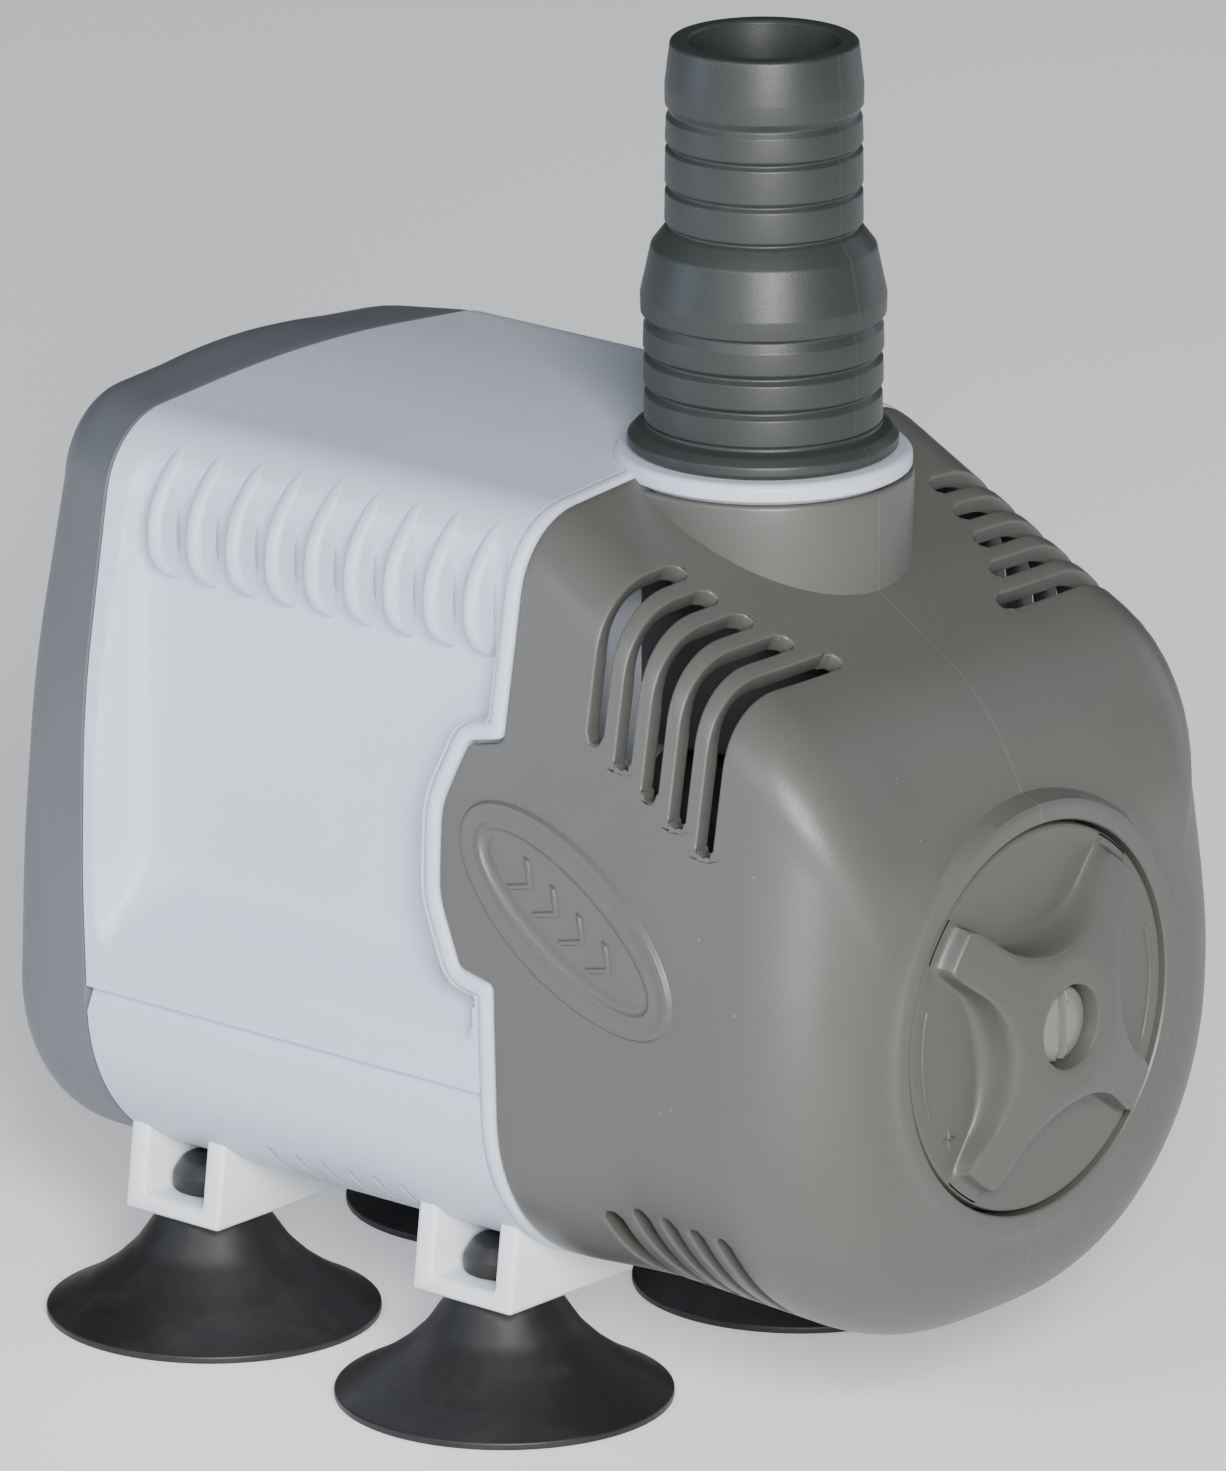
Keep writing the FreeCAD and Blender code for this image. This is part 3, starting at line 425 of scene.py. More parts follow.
def turned(name, profile, axis, centre, material, steps=96, closed=True, smooth_deg=38.0):
    """Closed body turned from (radius, height) points about the Z or the Y axis."""
    profile = np.asarray(profile, float)
    angles = np.linspace(0, 2 * math.pi, steps, endpoint=False)
    radius, height = profile[:, :1], profile[:, 1:]
    across, along = radius * np.cos(angles), radius * np.sin(angles)
    level = height + 0 * angles
    if axis == "Z":
        points = np.stack([centre[0] + across, centre[1] + along, level], -1)
    else:
        points = np.stack([centre[0] + across, level, centre[1] + along], -1)
    faces = grid_faces(len(profile), steps, closed_rows=closed)
    if not closed:
        faces.append(tuple(range(steps)))
        faces.append(tuple((len(profile) - 1) * steps + j for j in range(steps)))
    return new_piece(name, points.reshape(-1, 3), faces, material, smooth_deg)


def soft_profile(corners, step=0.25):
    """(r, z) points of a closed profile from (r, z, corner radius) corners."""
    return rounded_path(corners, True, step)


def corner_arc(before, here, after, radius):
    """Start, end, centre and turn of the tangent arc that rounds one corner."""
    here = np.array(here[:2], float)
    back = np.array(before[:2], float) - here
    ahead = np.array(after[:2], float) - here
    back /= np.linalg.norm(back)
    ahead /= np.linalg.norm(ahead)
    half = math.acos(max(-1.0, min(1.0, float(back @ ahead)))) / 2
    if radius <= 0 or half > math.pi / 2 - 1e-4:
        return here, here, None, 0.0
    reach = radius / math.tan(half)
    centre = here + (back + ahead) / np.linalg.norm(back + ahead) * radius / math.sin(half)
    return here + back * reach, here + ahead * reach, centre, math.pi - 2 * half


def arc_points(start, end, centre, count):
    """Points from start towards end round the centre, the end left out."""
    if centre is None:
        return [start]
    first, last = start - centre, end - centre
    turn = math.atan2(first[0] * last[1] - first[1] * last[0], first @ last)
    points = []
    for share in np.arange(count) / count:
        c, s = math.cos(turn * share), math.sin(turn * share)
        points.append(centre + np.array([first[0] * c - first[1] * s, first[0] * s + first[1] * c]))
    return points


def rounded_path(corners, closed, step):
    """Points along (x, y, corner radius) corners, each corner rounded by its own arc."""
    count = len(corners)
    points = []
    for index, here in enumerate(corners):
        if not closed and index in (0, count - 1):
            points.append(np.array(here[:2], float))
            continue
        start, end, centre, turn = corner_arc(corners[index - 1], here, corners[(index + 1) % count], here[2])
        pieces = max(1, int(math.ceil(turn * here[2] / step)), int(math.ceil(turn / 0.2)))
        points.extend(arc_points(start, end, centre, pieces))
        if centre is not None:
            points.append(end)
    return np.array(points)


def ear_line(offset):
    """The ear's edge moved outwards by an offset, with the same number of points whatever the offset."""
    corners = [np.array(c[:2], float) for c in EAR_CORNERS]
    lines = []
    for a, b in zip(corners, corners[1:]):
        way = (b - a) / np.linalg.norm(b - a)
        side = np.array([-way[1], way[0]])
        lines.append((a + side * offset, way))
    moved = [np.array([corners[0][0] + offset, corners[0][1]])]
    for (p, d), (q, e) in zip(lines, lines[1:]):
        t = ((q - p)[0] * e[1] - (q - p)[1] * e[0]) / (d[0] * e[1] - d[1] * e[0])
        moved.append(p + d * t)
    moved.append(np.array([corners[-1][0] + offset, corners[-1][1]]))
    turns = (0, -1, 1, 1, 1, 1, -1, 0)
    radii = [max(0.35, c[2] + turn * offset) for c, turn in zip(EAR_CORNERS, turns)]
    radii[2] = radii[5] = 1.2 + offset
    points = []
    counts = iter(EAR_COUNTS)
    arcs = [None] + [corner_arc(moved[i - 1], moved[i], moved[i + 1], radii[i]) for i in range(1, 7)] + [None]
    position = moved[0]
    for index in range(1, 8):
        straight_end = arcs[index][0] if arcs[index] else moved[7]
        steps = next(counts)
        points.extend(position + (straight_end - position) * s for s in np.arange(steps) / steps)
        if arcs[index]:
            start, end, centre, _ = arcs[index]
            points.extend(arc_points(start, end, centre, next(counts)))
            position = end
    points.append(moved[7])
    return np.array(points)


# ---- the body's cross-section -------------------------------------------------------------------
class Outline:
    """Polar form of the body's cross-section about the motor axis."""

    def __init__(self, half=HALF_OUTLINE):
        left = [(-x, z, r) for x, z, r in reversed(half[1:]) if x]
        loop = rounded_path(list(half) + left, True, 0.4)
        loop = np.vstack([loop, loop[:1]])
        gaps = np.linalg.norm(np.diff(loop, axis=0), axis=1)
        run = np.concatenate([[0], np.cumsum(gaps)])
        even = np.linspace(0, run[-1], 6000, endpoint=False)
        x, z = np.interp(even, run, loop[:, 0]), np.interp(even, run, loop[:, 1])
        angle = np.arctan2(x, z - AXIS_Z)
        order = np.argsort(angle)
        self.angle = angle[order]
        self.radius = np.hypot(x, z - AXIS_Z)[order]
        table = np.linspace(-math.pi, math.pi, 2881)
        value = self.reach(table)
        self.table = table
        self.rate = np.gradient(value, table)

    def reach(self, angle):
        return np.interp(angle, self.angle, self.radius, period=2 * math.pi)

    def distance(self, x, z):
        """Distance outside the outline, negative inside, and the upright part of its normal."""
        angle = np.arctan2(x, z - AXIS_Z)
        radius = np.hypot(x, z - AXIS_Z)
        reach = self.reach(angle)
        lean = np.interp(angle, self.table, self.rate) / reach
        size = np.sqrt(1 + lean * lean)
        upright = (np.cos(angle) + lean * np.sin(angle)) / size
        return (radius - reach) / size, upright

    def point_at(self, angle):
        reach = self.reach(angle)
        return reach * np.sin(angle), AXIS_Z + reach * np.cos(angle)


class BodyGrid:
    """What the cover's and the housing's grids share: one column for each angle round the body."""

    def walk(self, count):
        """Angles of the right half from the top to the bottom, their heights, and the way along them."""
        fine = np.linspace(0, math.pi, count)
        x, z = self.outline.point_at(fine)
        return fine, z, np.concatenate([[0], np.cumsum(np.hypot(np.diff(x), np.diff(z)))])

    def use_half(self, half):
        self.half = half
        self.angles = np.concatenate([half, -half[-2:0:-1]])
        self.count = len(self.angles)

    def mirrored(self, column):
        return (self.count - column) % self.count


def smooth_max(a, b, soft):
    blend = np.maximum(soft - np.abs(a - b), 0) / soft
    return np.maximum(a, b) + blend * blend * soft * 0.25


def round_and(a, b, radius):
    """Both at once, with a rounded edge between them."""
    return (np.minimum(np.maximum(a + radius, b + radius), 0)
            + np.hypot(np.maximum(a + radius, 0), np.maximum(b + radius, 0)) - radius)


def solve(level, base, way, near=0.0, far=80.0):
    """Points along the rays where level() turns positive."""
    low = np.full(base.shape[:-1], near)
    high = np.full(base.shape[:-1], far)
    for _ in range(26):
        middle = (low + high) / 2
        inside = level(base + way * middle[..., None]) < 0
        low = np.where(inside, middle, low)
        high = np.where(inside, high, middle)
    return base + way * low[..., None]


def normals_of(level, points, step=0.02):
    parts = [level(points + step * axis) - level(points - step * axis) for axis in np.eye(3)]
    normal = np.stack(parts, -1)
    return normal / np.maximum(np.linalg.norm(normal, axis=-1, keepdims=True), 1e-9)


def shell_faces(rows, columns, keep):
    """Faces of a closed shell: outer grid, inner grid behind it and a rim round every open edge."""
    size = rows * columns
    faces = []
    for i in range(rows - 1):
        for j in range(columns):
            if not keep[i, j]:
                continue
            k = (j + 1) % columns
            a, b, c, d = i * columns + j, (i + 1) * columns + j, (i + 1) * columns + k, i * columns + k
            faces.append((a, b, c, d))
            faces.append((d + size, c + size, b + size, a + size))
            around = ((i, (j - 1) % columns, a, b), (i + 1, j, b, c), (i, k, c, d), (i - 1, j, d, a))
            for other_i, other_j, p, q in around:
                if other_i < 0 or other_i >= rows - 1 or not keep[other_i, other_j]:
                    faces.append((q, p, p + size, q + size))
    return faces


# ---- front cover --------------------------------------------------------------------------------
class CoverForm(BodyGrid):
    """The strainer cover's outer surface as a level function, and its grid of points."""

    def __init__(self, sizes):
        self.outline = Outline()
        self.front_outline = Outline(FRONT_OUTLINE)
        self.slope = sizes.cover_slope
        self.rounding = mm(sizes.front_rounding)
        self.wall = mm(sizes.wall)
        self.half_vent = mm(sizes.vent_width) / 2
        self.columns()

    def level(self, p):
        x, y, z = p[..., 0], p[..., 1], p[..., 2]
        ahead = np.maximum(PARTING_Y - y, 0)
        fall = self.slope * ahead * (1 - 0.145 * np.minimum(np.abs(x) / 31.4, 1) ** 2)
        share = np.minimum(ahead / 16.0, 1)
        share = share * share * (3 - 2 * share)
        side = self.outline.distance(x, z)[0] * (1 - share) + self.front_outline.distance(x, z)[0] * share
        side = side - 1.9 * np.minimum(ahead / 41.8, 1) * np.clip((60 - z) / 40, 0, 1)
        sheared, upright = self.outline.distance(x, z + fall)
        sheared = sheared / np.sqrt(1 + (self.slope * upright) ** 2)
        return round_and(smooth_max(side, sheared, 0.4), FRONT_Y - y, self.rounding)

    def columns(self):
        """Angles of the right half from the top to the bottom, the ear's columns among them."""
        fine, z, run = self.walk(4001)
        flank = (fine > 0.6) & (fine < 2.2)
        ear_top = np.interp(-EAR_TOP, -z[flank], fine[flank])
        ear_low = np.interp(-EAR_LOW, -z[flank], fine[flank])
        top_run, low_run = np.interp([ear_top, ear_low], fine, run)
        upper = np.linspace(0, top_run, int(top_run / 0.86) + 1)[:-1]
        ear_z = np.linspace(EAR_TOP, EAR_LOW, sum(EAR_COUNTS) + 1)
        ear = np.interp(-ear_z, -z[flank], fine[flank])
        lower = np.linspace(low_run, run[-1], int((run[-1] - low_run) / 0.9) + 1)[1:]
        half = np.concatenate([np.interp(upper, run, fine), ear, np.interp(lower, run, fine)])
        self.ear_first = len(upper)
        self.use_half(half)

    def polar_rays(self, angles, y):
        base = np.stack([0 * angles, y + 0 * angles, AXIS_Z + 0 * angles], -1)
        return base, np.stack([np.sin(angles), 0 * angles, np.cos(angles)], -1)

    def front_rows(self, count):
        """Rows from the boss over the front face and its rounding to the start of the sides."""
        turn_y = FRONT_Y + self.rounding
        base, way = self.polar_rays(self.angles, turn_y)
        edge = solve(self.level, base, way)
        reach = np.hypot(edge[:, 0], edge[:, 2] - AXIS_Z)
        pivot = reach - self.rounding
        ring = math.pi / 2 * np.linspace(0, 1, 90)
        radial = np.stack([np.sin(self.angles), 0 * self.angles, np.cos(self.angles)], -1)
        centre = np.array([0.0, turn_y, AXIS_Z])
        bases = centre + radial * pivot[:, None]
        ways = (radial[None] * np.sin(ring)[:, None, None]
                + np.array([0, -1.0, 0]) * np.cos(ring)[:, None, None])
        bent = solve(self.level, np.broadcast_to(bases, ways.shape).copy(), ways, 0.0, 40.0)
        radii = np.hypot(bent[..., 0], bent[..., 2] - AXIS_Z)
        rows = np.zeros((count, self.count, 3))
        flat_end = np.maximum(pivot, BOSS_FOOT + 0.05)
        flat_radii = BOSS_FOOT + (flat_end - BOSS_FOOT) * np.linspace(0, 1, 24)[:, None]
        flat_bases = centre + radial * flat_radii[..., None]
        flat = solve(self.level, flat_bases, np.broadcast_to([0, -1.0, 0], flat_bases.shape), 0.0, 40.0)
        for j in range(self.count):
            beyond = radii[:, j] > flat_end[j] + 0.05
            r = np.concatenate([flat_radii[:, j], radii[beyond, j]])
            y = np.concatenate([flat[:, j, 1], bent[beyond, j, 1]])
            run = np.concatenate([[0], np.cumsum(np.hypot(np.diff(r), np.diff(y)))])
            even = np.linspace(0, run[-1], count)
            rr, yy = np.interp(even, run, r), np.interp(even, run, y)
            rows[:, j] = np.stack([rr * math.sin(self.angles[j]), yy,
                                   AXIS_Z + rr * math.cos(self.angles[j])], -1)
        return rows

    def slot_spans(self, y, limits):
        """Angle function of the distance along the section at y, and the distances of the limits."""
        fine = np.linspace(0, math.pi, 3001)
        base, way = self.polar_rays(fine, y)
        points = solve(self.level, base, way)
        run = np.concatenate([[0], np.cumsum(np.linalg.norm(np.diff(points, axis=0), axis=1))])
        spans = []
        for axis, value, low, high in limits:
            part = (fine >= low) & (fine <= high)
            series = points[part, axis]
            order = np.argsort(series)
            spans.append(float(np.interp(value, series[order], run[part][order])))
        return fine, run, spans

    def side_rows(self):
        """Rows along the sides with the slots' rows among them: angles, ys and the slot cells."""
        h = self.half_vent
        offsets = (-h, -0.6 * h, 0.0, 0.6 * h, h)
        steps_in = (1.0 * h, 0.2 * h, 0.0, 0.2 * h, 1.0 * h)
        ys, slots = [FRONT_Y + self.rounding + 1.0], []
        for y in reversed(VENT_YS):
            slots.append((y, len(ys)))
            ys.extend(y + offset for offset in offsets)
            ys.append(y + VENT_PITCH / 2)
        ys[-1] = VENT_YS[0] + h + 0.75
        angles = np.tile(self.angles, (len(ys), 1))
        cells = []
        for y, row in slots:
            index = VENT_YS.index(y)
            limits = [(0, VENT_TOP_XS[index], 0.0, 0.9), (2, VENT_LOW_ZS[index], 0.6, 2.0),
                      (0, UNDER_VENT_XS[0], 1.9, 2.75), (0, UNDER_VENT_XS[1], 1.9, 2.9)]
            fine, run, (top, low, under_out, under_in) = self.slot_spans(y, limits)
            column_run = np.interp(self.half, fine, run)
            for first, last in ((top, low), (under_out, under_in)):
                a = int(np.argmin(np.abs(column_run - (first + 0.5 * h))))
                b = int(np.argmin(np.abs(column_run - (last - 0.5 * h))))
                for step, inward in enumerate(steps_in):
                    for column, place in ((a, first + inward), (b, last - inward)):
                        moved = float(np.interp(place, run, fine))
                        angles[row + step, column] = moved
                        angles[row + step, self.mirrored(column)] = -moved
                cells.append((row, row + 4, a, b))
                cells.append((row, row + 4, self.mirrored(b), self.mirrored(a)))
        base, way = self.polar_rays(angles, np.array(ys)[:, None])
        return solve(self.level, base, way), cells

    def rear_rows(self, start, count):
        """Rows from the last slot to the rear edge, which follows the ears on both flanks."""
        edge = ear_line(0.0)
        first, last = self.ear_first, self.ear_first + len(edge)
        rows = []
        for share in np.linspace(0, 1, count + 1)[1:]:
            eased = share ** 0.9
            y = start[:, 1] + (PARTING_Y - start[:, 1]) * eased
            base, way = self.polar_rays(self.angles, y)
            for place, (edge_y, edge_z) in zip(range(first, last), edge):
                for column, side in ((place, 1.0), (self.mirrored(place), -1.0)):
                    at_y = start[column, 1] + (edge_y - start[column, 1]) * eased
                    at_z = start[column, 2] + (edge_z - start[column, 2]) * eased
                    base[column] = (0.0, at_y, at_z)
                    way[column] = (side, 0.0, 0.0)
            rows.append(solve(self.level, base, way))
        return np.array(rows)


def ring_rows(angles, pairs):
    """Rows at (radius, y) round the motor axis."""
    return np.array([np.stack([r * np.sin(angles), y + 0 * angles, AXIS_Z + r * np.cos(angles)], -1)
                     for r, y in pairs])


def build_cover(context):
    form = CoverForm(shape(context))
    floor = FRONT_Y + 3.6
    outer_pairs = [(4.3, floor), (12.0, floor), (20.3, floor), (20.9, floor), (20.9, FRONT_Y + 2.2),
                   (20.9, FRONT_Y + 0.6), (20.9, FRONT_Y - 0.45), (21.05, FRONT_Y - 0.64),
                   (21.35, FRONT_Y - 0.7), (22.4, FRONT_Y - 0.7), (22.8, FRONT_Y - 0.64),
                   (23.1, FRONT_Y - 0.45)]
    inner_pairs = [(4.3, floor + 1.8), (12.0, floor + 1.8), (20.3, floor + 1.8), (22.4, floor + 1.8),
                   (22.6, FRONT_Y + 4.6), (22.6, FRONT_Y + 4.2), (22.6, FRONT_Y + 3.8), (22.6, FRONT_Y + 3.5),
                   (22.6, FRONT_Y + 3.2), (22.6, FRONT_Y + 2.9), (22.65, FRONT_Y + 2.7),
                   (22.7, FRONT_Y + 2.5)]
    front = form.front_rows(15)
    sides, cells = form.side_rows()
    rear = form.rear_rows(sides[-1], 10)
    body = np.concatenate([front, sides, rear])
    inner_body = body - normals_of(form.level, body) * form.wall
    outer = np.concatenate([ring_rows(form.angles, outer_pairs), body])
    inner = np.concatenate([ring_rows(form.angles, inner_pairs), inner_body])
    keep = np.ones((len(outer), form.count), bool)
    shift = len(outer_pairs) + len(front)
    for row_a, row_b, a, b in cells:
        keep[shift + row_a:shift + row_b, a:b] = False
    points = np.concatenate([outer.reshape(-1, 3), inner.reshape(-1, 3)])
    piece = new_piece("cover_shell", points, shell_faces(len(outer), form.count, keep),
                      get_finish("cover", context))
    round_edges(piece, 0.28, 3, 62.0)
    cut_port(piece, context)
    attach(piece, "cover")
    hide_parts("front_cover")
    build_collar(form, context)
    build_badges(form, context)


def port_path(radius, rear_y, count=48):
    """Plan view of the U round the outlet, from the right rear end round the front to the left."""
    arc = [(radius * math.cos(t), OUTLET_Y - radius * math.sin(t)) for t in np.linspace(0, math.pi, count)]
    return [(radius, rear_y)] + arc + [(-radius, rear_y)]


def cut_port(piece, context):
    path = port_path(PORT_RADIUS, 0.0)
    count = len(path)
    points = [(x, y, 60.0) for x, y in path] + [(x, y, 120.0) for x, y in path]
    faces = [(i, (i + 1) % count, count + (i + 1) % count, count + i) for i in range(count)]
    faces += [tuple(range(count)), tuple(count + i for i in range(count))]
    cutter = new_piece("port_cutter", points, faces, get_finish("cover", context))
    combine(piece, cutter, "DIFFERENCE")


def build_collar(form, context):
    """Half tube that rises from the sloping top round the outlet, open to the rear."""
    inner_path = np.array(port_path(PORT_RADIUS, PARTING_Y))
    outer_path = np.array(port_path(PORT_RADIUS + 1.2, PARTING_Y))
    top = RING_TOP - 2.2
    rows = []
    for path, heights in ((outer_path, (0.0, 0.25, 0.55, 0.8)), (inner_path, (0.8, 0.5, 0.0))):
        base = np.stack([path[:, 0], path[:, 1], 0 * path[:, 0] + 55.0], -1)
        foot = solve(form.level, base, np.broadcast_to([0.0, 0.0, 1.0], base.shape))[:, 2] - 1.6
        for share in heights:
            z = foot + (top - 0.5 - foot) * share / 0.8
            rows.append(np.stack([path[:, 0], path[:, 1], z], -1))
        if path is outer_path:
            for inset, z in ((0.06, top - 0.22), (0.2, top - 0.06), (0.4, top), (0.8, top),
                             (1.05, top - 0.1)):
                moved = (inner_path - outer_path) / 1.2 * inset
                rows.append(np.stack([path[:, 0] + moved[:, 0], path[:, 1] + moved[:, 1],
                                      0 * path[:, 0] + z], -1))
    rows = np.array(rows)
    count = rows.shape[1]
    faces = grid_faces(len(rows), count, closed_columns=False, closed_rows=True)
    faces += [tuple(i * count for i in range(len(rows))),
              tuple(i * count + count - 1 for i in range(len(rows)))]
    piece = new_piece("cover_collar", rows.reshape(-1, 3), faces, get_finish("cover", context), 50)
    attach(piece, "cover")


BADGE_PROFILE = ((16.4, -0.6), (16.4, -0.04), (16.3, 0.1), (16.15, 0.62), (16.0, 0.9), (15.75, 1.0),
                 (15.35, 0.97), (15.0, 0.78), (14.7, 0.66), (14.3, 0.66), (14.05, 0.76), (13.85, 0.95),
                 (13.6, 1.0), (13.35, 0.9), (13.1, 0.42), (12.85, 0.18), (12.55, 0.12), (12.25, 0.2),
                 (11.9, 0.45), (11.5, 0.52))


def badge_point(form, side, along, across, rise):
    """Point over the flank at badge coordinates: along the oval's long axis, across it, and its height."""
    tilt = math.radians(BADGE_TILT)
    y = BADGE_Y + along * math.cos(tilt) - across * math.sin(tilt)
    z = BADGE_Z + along * math.sin(tilt) + across * math.cos(tilt)
    base = np.stack([0 * y, y, z], -1)
    skin = solve(form.level, base, np.broadcast_to([side, 0.0, 0.0], base.shape))
    return skin + normals_of(form.level, skin) * np.asarray(rise)[..., None]


def build_badges(form, context):
    """Raised oval with a sunk line round it on each flank, and chevrons that point the pull."""
    rise = mm(shape(context).badge_rise)
    steps = 160
    turn = np.linspace(0, 2 * math.pi, steps, endpoint=False)
    for side, label in ((-1.0, "left"), (1.0, "right")):
        rows = []
        for long_radius, height in BADGE_PROFILE:
            along, across = long_radius * np.cos(turn), (long_radius - 8.7) * np.sin(turn)
            rows.append(badge_point(form, side, along, across, np.full(steps, height * rise)))
        for share in (0.8, 0.55, 0.3, 0.1):
            along, across = 11.5 * share * np.cos(turn), 2.8 * share * np.sin(turn)
            rows.append(badge_point(form, side, along, across, np.full(steps, 0.52 * rise)))
        points = np.array(rows)
        faces = grid_faces(len(rows), steps)
        faces += [tuple(range(steps)), tuple((len(rows) - 1) * steps + j for j in range(steps))]
        piece = new_piece("cover_badge_" + label, points.reshape(-1, 3), faces,
                          get_finish("cover", context), 30)
        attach(piece, "cover")
        build_chevrons(form, side, label, rise, context)


def build_chevrons(form, side, label, rise, context):
    """Generic pull marks: one chevron repeated along the badge by Geometry Nodes."""
    spine = np.array([(-1.1, 2.0), (0.9, 0.0), (-1.1, -2.0)])
    bar = 0.40
    section = ((-bar, -0.35), (-bar * 0.75, 0.16), (-bar * 0.3, 0.27), (bar * 0.3, 0.27), (bar * 0.75, 0.16),
               (bar, -0.35))
    points = []
    for along, across in spine:
        for shift, height in section:
            points.append((along + shift * 1.35, across, height))
    size = len(section)
    faces = [(i * size + j, i * size + (j + 1) % size, (i + 1) * size + (j + 1) % size, (i + 1) * size + j)
             for i in range(2) for j in range(size)]
    faces += [tuple(range(size)), tuple(2 * size + j for j in range(size))]
    name = "cover_marks_" + label
    piece = new_piece(name, points, faces, get_finish("cover", context), 50)
    repeat_along(piece, CHEVRON_COUNT, Vector((CHEVRON_FIRST, 0, 0)) * MM, Vector((CHEVRON_STEP, 0, 0)) * MM,
                 get_finish("cover", context))
    co = np.array([v.co for v in piece.data.vertices]) / MM
    placed = badge_point(form, side, -co[:, 0], co[:, 1], co[:, 2] + rise * 0.52)
    piece.data.vertices.foreach_set("co", (placed * MM).ravel())
    fix_normals(piece)
    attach(piece, "cover")


def fix_normals(piece):
    work = bmesh.new()
    work.from_mesh(piece.data)
    bmesh.ops.recalc_face_normals(work, faces=work.faces)
    work.to_mesh(piece.data)
    work.free()
    piece.data.update()


def repeat_tree(name):
    """Geometry Nodes tree: copies of the piece set out in a straight row."""
    tree = bpy.data.node_groups.new(name, "GeometryNodeTree")
    tree.is_modifier = True
    face = tree.interface
    face.new_socket("Geometry", in_out="INPUT", socket_type="NodeSocketGeometry")
    count = face.new_socket("Count", in_out="INPUT", socket_type="NodeSocketInt")
    first = face.new_socket("First", in_out="INPUT", socket_type="NodeSocketVector")
    step = face.new_socket("Step", in_out="INPUT", socket_type="NodeSocketVector")
    finish_socket = face.new_socket("Finish", in_out="INPUT", socket_type="NodeSocketMaterial")
    face.new_socket("Geometry", in_out="OUTPUT", socket_type="NodeSocketGeometry")
    nodes, links = tree.nodes, tree.links
    entry, leave = nodes.new("NodeGroupInput"), nodes.new("NodeGroupOutput")
    line = nodes.new("GeometryNodeMeshLine")
    line.mode = "OFFSET"
    place = nodes.new("GeometryNodeInstanceOnPoints")
    realize, paint = nodes.new("GeometryNodeRealizeInstances"), nodes.new("GeometryNodeSetMaterial")
    links.new(entry.outputs["Count"], line.inputs["Count"])
    links.new(entry.outputs["First"], line.inputs["Start Location"])
    links.new(entry.outputs["Step"], line.inputs["Offset"])
    links.new(line.outputs["Mesh"], place.inputs["Points"])
    links.new(entry.outputs["Geometry"], place.inputs["Instance"])
    links.new(place.outputs["Instances"], realize.inputs["Geometry"])
    links.new(realize.outputs["Geometry"], paint.inputs["Geometry"])
    links.new(entry.outputs["Finish"], paint.inputs["Material"])
    links.new(paint.outputs["Geometry"], leave.inputs["Geometry"])
    return tree, {"count": count.identifier, "first": first.identifier, "step": step.identifier,
                  "finish": finish_socket.identifier}


def repeat_along(piece, count, first, step, material, smooth_deg=50.0):
    tree, sockets = repeat_tree(piece.name + "_row")
    row = piece.modifiers.new("row", "NODES")
    row.node_group = tree
    row[sockets["count"]] = count
    row[sockets["first"]] = first
    row[sockets["step"]] = step
    row[sockets["finish"]] = material
    return bake_modifiers(piece, smooth_deg)


